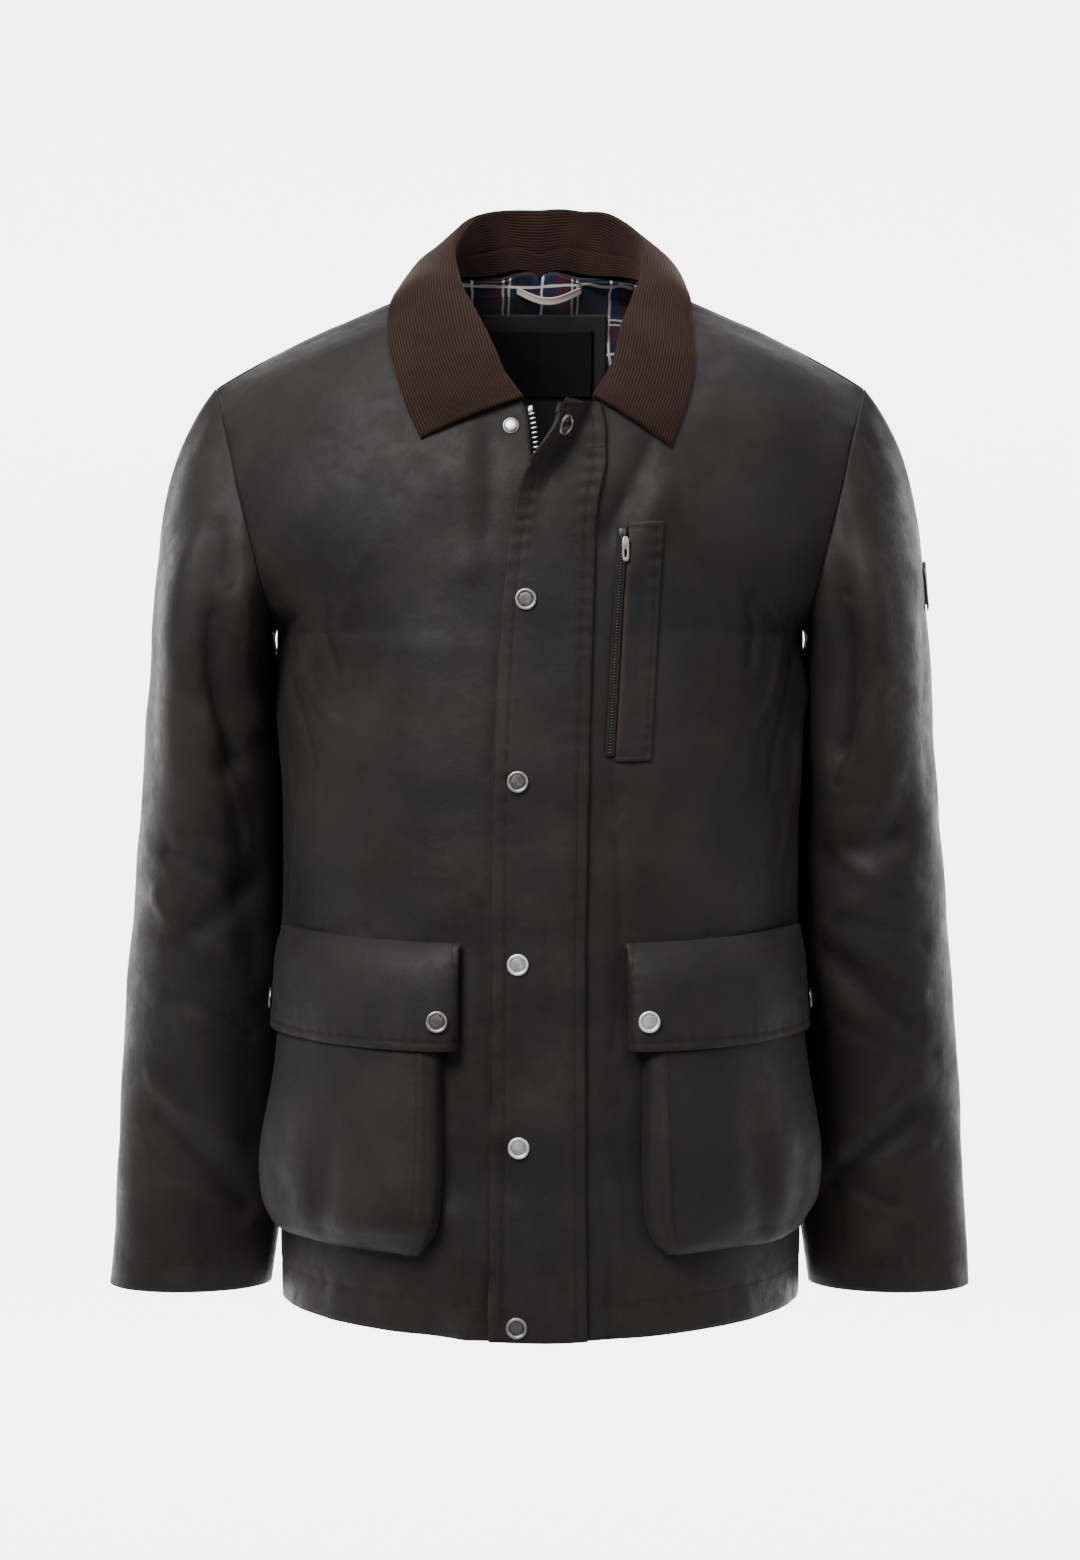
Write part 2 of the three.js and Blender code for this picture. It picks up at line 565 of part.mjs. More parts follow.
// The storm flap is sewn to the left front along seamX and lies over the zip to bendX. At the top
// its free edge lifts: turned is how wide that part is, and open how many degrees it stands up.
const STORM_FLAP = table(
  ["name", "z", "seamX", "bendX", "turned", "open"],
  [
    ["top", -79, 41, 36.5, 36, 55],
    ["stud", -93, 44.5, 30.5, 35.5, 57],
    ["upper", -106, 45, 22.5, 34, 55],
    ["middle", -120, 45, 11.5, 24, 45],
    ["lower", -133, 42.5, 3.5, 18, 29],
    ["flat", -148, 39.5, -2, 14.5, 12],
    ["breast", -176, 38, -7, 14.5, 0],
    ["chest", -239, 35.5, -25.5, 2, 0],
    ["ribs", -335, 33.2, -29.4, 2, 0],
    ["waist", -445, 31.2, -30.4, 2, 0],
    ["skirt", -589, 31.2, -31.6, 2, 0],
    ["hem", -727, 32.4, -32.4, 2, 0],
  ],
);
const FLAP_LIFT = CLOTH + 2.6; // the flap's outer face above the front's, clear of the zip under it
const FLAP_SEAT = FLAP_CLOTH + 0.9; // and along its seam, where it is sewn down
const FLAP_RISE = 14; // the width in which it rises from the one to the other
const FLAP_STEPS = 10;
const ROLL_OVER = 9; // the width in which the free edge turns back

// A row of the flap, walked from its seam towards its free edge
function flapRow(v) {
  const row = rowAt(STORM_FLAP, v);
  const laid = row.seamX - row.bendX;
  const total = laid + row.turned;
  const places = [];
  let x = row.seamX;
  let out = 0;
  for (let i = 0; i <= FLAP_STEPS; i += 1) {
    const travelled = (i / FLAP_STEPS) * total;
    const angle = radians(row.open * smooth((travelled - laid) / ROLL_OVER + 0.5));
    const { point, normal } = chestAt(x, row.z);
    const sideways = vector(1, 0, 0).addScaledVector(normal, -normal.x).normalize();
    const facing = normal.clone().multiplyScalar(Math.cos(angle)).addScaledVector(sideways, Math.sin(angle));
    const lift = mix(FLAP_SEAT, FLAP_LIFT, smooth(travelled / FLAP_RISE));
    const forward = normal.clone().setZ(0).normalize();
    places.push({ point: point.addScaledVector(normal, lift).addScaledVector(forward, out), normal: facing });
    x -= (Math.cos(angle) * total) / FLAP_STEPS;
    out += (Math.sin(angle) * total) / FLAP_STEPS;
  }
  return places;
}
const flapRows = steps(0, STORM_FLAP.length - 1, 22).map(flapRow);
add("storm_flap", new Cloth().patch(flapRows.map((row) => row.map((p) => layer(p, 0, FLAP_CLOTH)))).solid(), WAXED);

// A strip along a front edge, between two distances in from that edge
function edgeStrip(hand, fromRow, toRow, count, from, to, lift, thickness) {
  const grid = steps(fromRow, toRow, count).map((t) =>
    steps(from, to, 2).map((distance) => {
      const r = rowAt(FRONT, t);
      const width = r.outX - (hand === RIGHT ? r.inRight : r.inLeft);
      const s = Math.asin((distance / width) * Math.sin(radians(r.turn))) / radians(r.turn);
      return layer(frontAt(hand, s, t), lift, thickness);
    }),
  );
  return new Cloth().patch(grid).solid();
}

// The front zip: a tape behind each front edge, shut teeth between the edges up to the slider, and
// loose teeth along each tape above it
const ZIP_MIDDLE = 3;
const ZIP_FOOT_ROW = 0.32;
const ZIP_TOP_ROW = 8.92;
const SLIDER_ROW = 7;
const TEETH_WIDTH = 5.6;
const TEETH_LIFT = -0.5;
const TAPE_LIFT = -(CLOTH + REST_GAP);
const TAPE_PAST_EDGE = -5.6;
const TAPE_BEHIND = 8;

for (const [side, hand] of [["right", RIGHT], ["left", LEFT]]) {
  const tape = edgeStrip(hand, ZIP_FOOT_ROW, ZIP_TOP_ROW, 18, TAPE_PAST_EDGE, TAPE_BEHIND, TAPE_LIFT, TRIM_CLOTH);
  add(`zip_tape_${side}`, tape, TAPE);
  add(`zip_teeth_${side}`, edgeStrip(hand, SLIDER_ROW + 0.4, ZIP_TOP_ROW, 5, -5, -1.2, TEETH_LIFT, CLOTH), STEEL);
}
const shutTeeth = steps(ZIP_FOOT_ROW, SLIDER_ROW - 0.2, 14).map((t) =>
  [-0.5, 0.5].map((f) => {
    const place = chestAt(ZIP_MIDDLE + f * TEETH_WIDTH, rowAt(FRONT, t).inZ);
    return layer(place, TEETH_LIFT, CLOTH);
  }),
);
add("zip_teeth", new Cloth().patch(shutTeeth).solid(), STEEL);

// The corduroy guard behind the open top of the zip
const GUARD_LIFT = TAPE_LIFT - TRIM_CLOTH - REST_GAP;
add("zip_guard", edgeStrip(LEFT, 7.5, 9, 5, -20, 8, GUARD_LIFT, CORD_CLOTH), CORDUROY);

// The way up along a surface with this normal
const uprightOn = (normal) => vector(0, 0, 1).addScaledVector(normal, -normal.z).normalize();

// A small hard piece on a surface place: its own +Z is the way out and its own +Y is up
function fix(name, geometry, { point, normal }, lift, material) {
  const upright = uprightOn(normal);
  const mesh = add(name, geometry, material);
  const basis = new THREE.Matrix4().makeBasis(upright.clone().cross(normal), upright, normal);
  mesh.quaternion.setFromRotationMatrix(basis);
  mesh.position.copy(point).addScaledVector(normal, lift);
  return mesh;
}

// A plate with round corners, standing from 0 to thick along its own +Z
function plate(width, height, corner, thick, hole) {
  const [x, y] = [width / 2 - corner, height / 2 - corner];
  const outline = new THREE.Shape();
  const corners = [[x, -y, -90], [x, y, 0], [-x, y, 90], [-x, -y, 180]];
  for (const [cx, cy, from] of corners) outline.absarc(cx, cy, corner, radians(from), radians(from + 90));
  if (hole) outline.holes.push(new THREE.Path().absellipse(0, hole.y, hole.width / 2, hole.height / 2, 0, 2 * Math.PI));
  return new THREE.ExtrudeGeometry(outline, { depth: thick, bevelEnabled: false, curveSegments: 3 });
}
const SLIDER_BODY = { width: 9, height: 12, corner: 2.5, thick: 3.2 };
const sliderPlace = chestAt(ZIP_MIDDLE, rowAt(FRONT, SLIDER_ROW + 0.05).inZ);
const { width: sliderWidth, height: sliderHeight, corner: sliderCorner, thick: sliderThick } = SLIDER_BODY;
fix("zip_slider", plate(sliderWidth, sliderHeight, sliderCorner, sliderThick), sliderPlace, -CLOTH - 0.5, STEEL);

// The chest welt on the left front, slanted, with its zip along the inner edge
const onChest = (x, z) => {
  const { s, t } = placeOn(FRONT, LEFT, x, z);
  return frontAt(LEFT, s, t);
};
const WELT = { topX: 60.3, topZ: -159, footX: 51.1, footZ: -323, width: 24.6, edge: 0.6 };
const weltX = (z) => mix(WELT.topX, WELT.footX, (z - WELT.topZ) / (WELT.footZ - WELT.topZ));
function weltStrip(from, to, topZ, footZ, lift, thickness) {
  const grid = steps(topZ, footZ, 10).map((z) =>
    steps(from, to, 3).map((across) => layer(onChest(weltX(z) + across, z), lift, thickness)),
  );
  return new Cloth().patch(grid).solid();
}
const CHEST_ZIP_WIDTH = 6.4;
const CHEST_ZIP_LIFT = TRIM_CLOTH + REST_GAP;
add("chest_welt", weltStrip(0, WELT.width, WELT.topZ, WELT.footZ, CLOTH + REST_GAP, CLOTH), WAXED);
const chestZip = weltStrip(-CHEST_ZIP_WIDTH - WELT.edge, -WELT.edge, WELT.topZ - 4, WELT.footZ + 4, CHEST_ZIP_LIFT, TRIM_CLOTH);
add("chest_zip", chestZip, TAPE);

// Its slider, and the pull tab that hangs from it on a cross pin
const CHEST_SLIDER = { z: -168, width: 5.4, height: 8, thick: 2.4 };
const PULL = { width: 4.6, height: 17, thick: 1.2, shift: 1.6, overlap: 2 };
const chestSliderX = weltX(CHEST_SLIDER.z) - WELT.edge - CHEST_ZIP_WIDTH / 2;
const chestSliderPlace = onChest(chestSliderX, CHEST_SLIDER.z);
const chestSlider = plate(CHEST_SLIDER.width, CHEST_SLIDER.height, 1.4, CHEST_SLIDER.thick);
fix("chest_slider", chestSlider, chestSliderPlace, CHEST_ZIP_LIFT + REST_GAP + SEAM, STEEL);
const pullDown = (CHEST_SLIDER.height + PULL.height) / 2 - PULL.overlap;
const pullPlace = { point: chestSliderPlace.point.clone(), normal: chestSliderPlace.normal };
pullPlace.point.addScaledVector(uprightOn(pullPlace.normal), -pullDown).add(vector(PULL.shift, 0, 0));
const pullShape = plate(PULL.width, PULL.height, 2, PULL.thick, { y: -3, width: 2, height: 6 });
fix("chest_pull", pullShape, pullPlace, CHEST_ZIP_LIFT + REST_GAP + 2 * SEAM + CHEST_SLIDER.thick, STEEL);

// Patch pockets low on the fronts: rows down from the mouth. Inner and outer are s on the front,
// depth is how far the pocket stands out, and outerShare how much of that at its outer side.
const POCKET = table(
  ["name", "z", "inner", "outer", "depth", "outerShare"],
  [
    ["mouth", -460, 0.23, 0.825, 10, 0.55],
    ["underFlap", -500, 0.228, 0.825, 18, 0.55],
    ["upper", -550, 0.224, 0.83, 22, 0.7],
    ["belly", -600, 0.222, 0.83, 26, 0.9],
    ["lower", -636, 0.228, 0.828, 26, 0.9],
    ["round", -652, 0.245, 0.82, 21, 0.85],
    ["under", -661, 0.27, 0.81, 13, 0.8],
    ["foot", -665, 0.285, 0.8, 1.5, 0.8],
  ],
);
const POCKET_FLAP = table(
  ["name", "z", "inner", "outer", "depth", "outerShare"],
  [
    ["seam", -447, 0.18, 0.845, 2.3, 1],
    ["bend", -456, 0.18, 0.845, 11.5, 0.75],
    ["over", -470, 0.18, 0.848, 18.5, 0.65],
    ["snaps", -500, 0.182, 0.855, 23, 0.62],
    ["edge", -521, 0.186, 0.86, 23.5, 0.62],
  ],
);
const POCKET_SQUARE = 0.45; // the section is a half ring squared up by this power
const FLAP_SQUARE = 0.6;

// A point of a pocket or its flap: u runs from its inner to its outer side, v down its rows
function pocketPoint(rows, hand, square, sideLift, u, v) {
  const r = rowAt(rows, v);
  const squared = (value) => Math.sign(value) * Math.abs(value) ** square;
  const across = (1 - squared(Math.cos(Math.PI * u))) / 2;
  const side = REST_GAP + Math.min(sideLift, r.depth);
  const full = REST_GAP + r.depth * mix(1, r.outerShare, across);
  const { point, normal } = frontLevel(hand, mix(r.inner, r.outer, across), r.z);
  return point.addScaledVector(normal, mix(side, full, squared(Math.sin(Math.PI * u))));
}
for (const [side, hand] of [["right", RIGHT], ["left", LEFT]]) {
  const bag = (u, v) => pocketPoint(POCKET, hand, POCKET_SQUARE, 0, u, v);
  const flap = (u, v) => pocketPoint(POCKET_FLAP, hand, FLAP_SQUARE, 5, u, v);
  add(`pocket_${side}`, shapedWall(bag, steps(0, 1, 12), steps(0, 7, 12), CLOTH, -hand), WAXED);
  add(`pocket_flap_${side}`, shapedWall(flap, steps(0, 1, 10), steps(0, 4, 7), CLOTH, -hand), WAXED);
}

// Press snaps: a cap with a raised rim round a flat middle
function snapCap(radius, height) {
  const rim = [[0, 0], [radius, 0], [radius, 0.5], [radius - 0.5, 1], [radius - 1.5, 1], [radius - 2.1, 0.6], [0, 0.6]];
  const profile = rim.map(([r, h]) => new THREE.Vector2(r, h * height));
  return new THREE.LatheGeometry(profile, 10).rotateX(Math.PI / 2);
}
const CAP = { radius: 7.6, height: 2 };
const STUD = { radius: 5.5, height: 2.6, lift: -0.9 };
const FLAP_SNAPS = table(
  ["name", "x", "z"],
  [
    ["snap_collarbone", -9.6, -212],
    ["snap_chest", -15, -336],
    ["snap_waist", -15, -461],
    ["snap_skirt", -14.4, -587],
    ["snap_hem", -15.8, -712],
  ],
);
for (const { name, x, z } of FLAP_SNAPS) {
  fix(name, snapCap(CAP.radius, CAP.height), chestAt(x, z), FLAP_LIFT + SEAM, STEEL);
}
fix("stud_top", snapCap(STUD.radius, STUD.height), chestAt(-20, -94), STUD.lift, STEEL);

// The top snap is near the lifted edge of the flap, square to the cloth there
const NECK_SNAP = { row: 1.07, step: 7, lift: 0.3 };
const pointOnFlap = (row, step) => flapRow(row)[step].point;
const flapDown = pointOnFlap(NECK_SNAP.row + 0.3, NECK_SNAP.step).sub(pointOnFlap(NECK_SNAP.row - 0.3, NECK_SNAP.step));
const flapAcross = pointOnFlap(NECK_SNAP.row, NECK_SNAP.step + 1).sub(pointOnFlap(NECK_SNAP.row, NECK_SNAP.step - 1));
const liftedPlace = {
  point: pointOnFlap(NECK_SNAP.row, NECK_SNAP.step),
  normal: flapAcross.cross(flapDown).normalize(),
};
fix("snap_neck", snapCap(CAP.radius, CAP.height), liftedPlace, NECK_SNAP.lift, STEEL);

const POCKET_SNAPS = table(["name", "u", "v", "lift"], [["inner", 0.2, 3, 0.8], ["outer", 0.84, 3, 0.1]]);
for (const [side, hand] of [["right", RIGHT], ["left", LEFT]]) {
  for (const { name, u, v, lift } of POCKET_SNAPS) {
    const at = (a, b) => pocketPoint(POCKET_FLAP, hand, FLAP_SQUARE, 5, a, b);
    const along = at(u + 0.01, v).sub(at(u - 0.01, v));
    const normal = along.cross(at(u, v + 0.01).sub(at(u, v - 0.01))).normalize().multiplyScalar(-hand);
    fix(`snap_pocket_${side}_${name}`, snapCap(CAP.radius, CAP.height), { point: at(u, v), normal }, lift, STEEL);
  }
}

// Inside the back of the neck: lining, facing, label and hanger loop, each further in
const LINING_LIFT = -(CLOTH + REST_GAP);
const FACING_LIFT = LINING_LIFT - TRIM_CLOTH - REST_GAP;
const LABEL_LIFT = FACING_LIFT - TRIM_CLOTH - REST_GAP;
const lining = new Cloth();
for (const hand of [RIGHT, LEFT]) {
  const grid = steps(6.5, 11.5, 8).map((t) =>
    steps(0, 0.7, 5).map((s) => layer(backAt(hand, s, t), LINING_LIFT, TRIM_CLOTH)),
  );
  lining.patch(grid, hand === LEFT);
}
add("neck_lining", lining.solid(), PLAID);

const backInside = (x, z) => {
  const hand = x < 0 ? RIGHT : LEFT;
  const { s, t } = placeOn(BACK, hand, x, z);
  return backAt(hand, s, t);
};
function insidePatch(fromX, toX, columns, fromZ, toZ, rows, lift, thickness) {
  const grid = steps(fromZ, toZ, rows).map((z) =>
    steps(fromX, toX, columns).map((x) => layer(backInside(x, z), lift, thickness)),
  );
  return new Cloth().patch(grid).solid();
}
add("neck_facing", insidePatch(-43, 49, 8, -17, -150, 6, FACING_LIFT, TRIM_CLOTH), BLACK);
add("neck_label", insidePatch(-37, 38.6, 6, -27, -77, 3, LABEL_LIFT, PATCH_CLOTH), TAPE);

const LOOP = { fromX: -17, toX: 30, endZ: 1, drop: 4, halfWidth: 2.6, stand: 9 };
const loopGrid = steps(0, 1, 10).map((f) => {
  const sag = Math.sin(Math.PI * f);
  const z = LOOP.endZ - LOOP.drop * sag;
  return [-1, 1].map((edge) => {
    const place = backInside(mix(LOOP.fromX, LOOP.toX, f), z + edge * LOOP.halfWidth);
    return layer(place, FACING_LIFT - LOOP.stand * sag, TRIM_CLOTH);
  });
});
add("hanger_loop", new Cloth().patch(loopGrid).solid(), WEBBING);

// A small plain patch on the outer side of the left sleeve
const PATCH = { topZ: -194, footZ: -225, halfTurn: 15 };
const patchRow = (z) => {
  let [low, high] = [0, SLEEVE_END];
  for (let i = 0; i < 24; i += 1) {
    const middle = (low + high) / 2;
    if (plainSleeve(0, middle).z > z) low = middle;
    else high = middle;
  }
  return low;
};
const patchGrid = steps(patchRow(PATCH.topZ), patchRow(PATCH.footZ), 4).map((t) =>
  steps(-PATCH.halfTurn, PATCH.halfTurn, 4).map((d) =>
    layer(sleeveAt(LEFT, (d + 360) % 360, t), 0.7 * REST_GAP + PATCH_CLOTH, PATCH_CLOTH),
  ),
);
add("sleeve_patch", new Cloth().patch(patchGrid).solid(), TAPE);

export default jacket;
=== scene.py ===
"""A waxed cotton field jacket with a corduroy collar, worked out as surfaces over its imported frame.

Sizes are in millimetres until a mesh is made. +Z is up, the front faces -Y, the wearer's left is +X.
"""

import logging
import math
from dataclasses import dataclass, field
from enum import Enum
from typing import Callable, Iterable, Optional, Sequence

import bmesh
import bpy
import numpy as np
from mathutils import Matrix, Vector

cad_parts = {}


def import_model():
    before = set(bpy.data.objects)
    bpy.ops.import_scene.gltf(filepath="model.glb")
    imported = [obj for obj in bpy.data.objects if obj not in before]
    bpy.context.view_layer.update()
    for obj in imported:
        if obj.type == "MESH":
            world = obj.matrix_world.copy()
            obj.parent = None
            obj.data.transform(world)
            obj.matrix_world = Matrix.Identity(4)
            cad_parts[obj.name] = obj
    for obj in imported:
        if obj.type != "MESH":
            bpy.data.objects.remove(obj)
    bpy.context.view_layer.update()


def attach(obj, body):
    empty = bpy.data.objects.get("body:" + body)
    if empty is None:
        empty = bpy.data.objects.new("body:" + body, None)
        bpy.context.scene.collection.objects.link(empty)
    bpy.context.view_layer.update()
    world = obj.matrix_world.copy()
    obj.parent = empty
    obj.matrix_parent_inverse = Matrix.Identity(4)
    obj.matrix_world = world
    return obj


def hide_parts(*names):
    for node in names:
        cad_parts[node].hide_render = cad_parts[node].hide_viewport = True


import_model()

LOG = logging.getLogger("jacket")
Array = np.ndarray
Colour = tuple[float, float, float]
MM = 0.001
JACKET = "jacket"
PULL_BODY = "chest_pull"

CLOTH = 2.0
HEM_EXTRA = 1.0
HEM_DEPTH = 25.0
CORD_CLOTH = 2.2
FLAP_CLOTH = 2.4
TRIM_CLOTH = 1.4
PATCH_CLOTH = 1.0
SEAM = 0.3
REST_GAP = 1.0
GIRTH_PER_DEGREE = 3.1
SLEEVE_PER_DEGREE = 1.15
UNDERARM_ROW = 5
NECK_ROW = 9


class Hand(Enum):
    """A side of the wearer, as the sign of x."""

    RIGHT = -1
    LEFT = 1

    @property
    def word(self) -> str:
        """The side's name as the nodes have it."""
        return self.name.lower()


class Face(Enum):
    """The way a body panel looks, as the sign of y."""

    FRONT = -1
    BACK = 1


def lerp(a: Array, b: Array, f: Array) -> Array:
    """The value f of the way from a to b."""
    return a + (b - a) * f


def smooth(v: Array) -> Array:
    """0 below 0, 1 above 1, and 3 v squared less 2 v cubed between."""
    f = np.clip(v, 0.0, 1.0)
    return f * f * (3 - 2 * f)


def unit(v: Array) -> Array:
    """Each vector at length 1."""
    return v / np.maximum(np.linalg.norm(v, axis=-1, keepdims=True), 1e-12)


def dot(a: Array, b: Array) -> Array:
    """Dot products along the last axis."""
    return np.sum(a * b, axis=-1)


def bell(v: Array) -> Array:
    """A bell curve: e to the minus of v squared."""
    return np.exp(-(v**2))


def powered(v: Array, power: float) -> Array:
    """A value raised to a power, keeping its sign."""
    return np.sign(v) * np.abs(v) ** power


def spread(a: Array, b: Array) -> tuple[Array, Array]:
    """Two arrays of numbers brought to one shape."""
    return tuple(np.broadcast_arrays(np.asarray(a, float), np.asarray(b, float)))


def travelled_along(line: Array) -> Array:
    """The distance travelled at each point of a line, as the running sum of its steps' lengths."""
    return np.concatenate([[0], np.cumsum(np.linalg.norm(np.diff(line, axis=0), axis=-1))])


def read_line(stops: Array, travelled: Array, line: Array) -> Array:
    """A line's places, or its ways out, at distances travelled along it."""
    return np.stack([np.interp(stops, travelled, line[:, k]) for k in range(3)], -1)


class Rows:
    """Rows of named numbers, joined by a Catmull-Rom curve through each column."""

    def __init__(self, columns: str, rows: Sequence[Sequence[float]], corner: Optional[int] = None) -> None:
        """Keeps the table.

        Args:
            columns: the column names, with spaces between.
            rows: one tuple of numbers a row.
            corner: the row where columns whose names start with out turn a sharp corner.
        """
        self.columns = columns.split()
        self.values = np.array(rows, dtype=float)
        self.corner = -1 if corner is None else corner
        self.turns = np.array([name.startswith("out") for name in self.columns]) & (corner is not None)

    @property
    def last(self) -> int:
        """The position of the last row."""
        return len(self.values) - 1

    def at(self, t: Array) -> dict[str, Array]:
        """The columns at row positions t.

        With rows a, b, c, d round the place and f the share of the way from b to c, each value is
        b + f/2 (c - a + f (2a - 5b + 4c - d + f (3(b - c) + d - a))). Past an end, or past the corner,
        the outer rows a and d are those that a straight line gives.

        Args:
            t: row positions, of any array shape.

        Returns:
            An array of t's shape for each column name.
        """
        t = np.asarray(t, dtype=float)
        i = np.clip(np.floor(t).astype(int), 0, self.last - 1)
        f = (t - i)[..., None]
        b, c = self.values[i], self.values[i + 1]
        sharp_a = (i == self.corner)[..., None] & self.turns
        sharp_d = (i + 1 == self.corner)[..., None] & self.turns
        a = np.where((i > 0)[..., None] & ~sharp_a, self.values[np.maximum(i - 1, 0)], 2 * b - c)
        d_row = self.values[np.minimum(i + 2, self.last)]
        d = np.where((i + 2 <= self.last)[..., None] & ~sharp_d, d_row, 2 * c - b)
        made = b + 0.5 * f * (c - a + f * (2 * a - 5 * b + 4 * c - d + f * (3 * (b - c) + d - a)))
        return {name: made[..., k] for k, name in enumerate(self.columns)}


PANEL_COLUMNS = "inRight inLeft inY inZ outX outY outZ turn swell"
FRONT_ROWS = Rows(PANEL_COLUMNS, [
    (3, 9, -159, -723, 187, -5, -717, 90, 0),
    (3, 9, -158, -620, 188, -5, -616, 90, 0),
    (3, 9, -153, -500, 185, -5, -498, 90, 0),
    (3, 9, -148, -390, 183, -5, -388, 90, 0),
    (3, 9, -141, -295, 186, -3, -292, 90, 0),
    (3, 9, -135, -230, 187, 0, -243, 88, 0),
    (3, 9, -130, -192, 189, -44, -229, 74, 1),
    (3, 10, -123, -155, 195, -68, -200, 64, 3),
    (5, 21, -115, -118, 204, -67, -164, 58, 5),
    (12, 38, -103, -78, 212, -54, -134, 54, 6),
    (33, 50, -92, -66, 218, -38, -109, 54, 8),
    (53, 62, -72, -44, 223, -25, -91, 54, 9),
    (68, 73, -44, -17, 226, -14, -79, 54, 8),
    (75, 79, -14, 2, 229, -6, -71, 50, 0),
], corner=UNDERARM_ROW)
BACK_ROWS = Rows(PANEL_COLUMNS, [
    (0, 0, 140, -723, 187, -5, -717, 90, 0),
    (0, 0, 135, -620, 188, -5, -616, 90, 0),
    (0, 0, 128, -500, 185, -5, -498, 90, 0),
    (0, 0, 124, -390, 183, -5, -388, 90, 0),
    (0, 0, 128, -295, 186, -3, -292, 90, 0),
    (0, 0, 131, -230, 187, 0, -243, 88, 0),
    (0, 0, 131, -175, 190, 50, -228, 74, 1),
    (0, 0, 127, -122, 198, 74, -190, 64, 3),
    (0, 0, 115, -68, 207, 72, -146, 58, 6),
    (0, 0, 82, 6, 215, 52, -112, 56, 17),
    (32, 32, 76, 7, 220, 32, -93, 56, 19),
    (58, 60, 52, 7, 225, 14, -80, 56, 14),
    (75, 79, -14, 2, 229, -6, -71, 50, 0),
], corner=UNDERARM_ROW)

# Folds: from one place to another, in degrees round and in height, then width, height and bend
BODY_FOLDS = [
    (-11, -105, -14, -165, 12, -2.2, 0),
    (-17, -110, -17, -190, 14, 2.4, 0),
    (-24, -250, -22, -420, 26, 2.6, 0),
    (-80, -300, -52, -235, 20, 3.4, 0),
    (-80, -420, -70, -330, 22, -3.0, 0),
    (-19, -640, -14, -715, 13, 3.4, 0),
    (-27, -690, -24, -722, 14, -2.6, 0),
    (21, -100, 15, -165, 11, -3.4, 0),
    (31, -108, 22, -190, 14, 2.8, 0),
    (66, -210, 82, -285, 14, 4.0, 0),
    (56, -185, 72, -250, 15, -3.4, 0),
    (78, -290, 74, -430, 18, 4.2, 0),
    (13, -560, 13, -715, 15, -2.4, 0),
    (-150, -170, -112, -330, 22, 3.6, 0),
    (152, -165, 110, -345, 24, 3.4, 0),
    (-168, -330, -120, -440, 20, -3.6, 0),
    (165, -350, 122, -455, 22, -3.2, 0),
    (-146, -520, -140, -720, 28, 4.4, 0),
    (158, -540, 150, -720, 30, 4.0, 0),
    (-178, -470, 176, -700, 26, -2.8, 0),
    (-92, -560, -90, -715, 24, -2.6, 0),
    (94, -570, 92, -715, 24, -2.4, 0),
]
# Finer creases that only the dressed cloth has
BODY_CREASES = [
    (-62, -205, -48, -262, 6, -1.5, 5),
    (-66, -232, -50, -300, 6, 1.2, -6),
    (-70, -255, -58, -330, 7, -1.3, 4),
    (-9, -230, -10, -330, 5, -0.9, 3),
    (-12, -420, -9, -560, 6, -1.0, -3),
    (-10, -585, -13, -700, 6, 1.2, 3),
    (-20, -700, -15, -722, 6, 1.6, 0),
    (-44, -160, -58, -210, 7, 1.2, 5),
    (60, -205, 50, -258, 6, -1.6, -5),
    (66, -228, 54, -300, 6, 1.4, 5),
    (71, -262, 60, -345, 7, -1.5, -6),
    (74, -320, 66, -400, 7, 1.3, 4),
    (13, -240, 14, -360, 6, -1.0, -3),
    (14, -380, 13, -520, 7, -1.2, 4),
    (12, -600, 15, -712, 6, 1.2, 3),
    (46, -150, 60, -205, 7, 1.0, -5),
    (-60, -452, -40, -440, 6, -1.0, 3),
    (38, -444, 60, -452, 6, -1.0, -3),
    (-150, -360, -112, -410, 7, -1.6, 6),
    (-160, -395, -118, -455, 7, 1.5, -6),
    (-168, -440, -130, -490, 7, -1.2, 5),
    (150, -365, 110, -415, 7, -1.6, -6),
    (160, -400, 116, -460, 7, 1.5, 6),
    (166, -446, 128, -498, 7, -1.2, -5),
    (-172, -120, -150, -180, 8, -1.2, 4),
    (172, -118, 150, -176, 8, -1.1, -4),
    (-176, -560, -170, -700, 8, 1.3, 5),
    (172, -575, 178, -712, 8, 1.2, -4),
    (-100, -300, -96, -420, 7, 1.4, 4),
    (100, -310, 97, -430, 7, 1.4, -4),
]
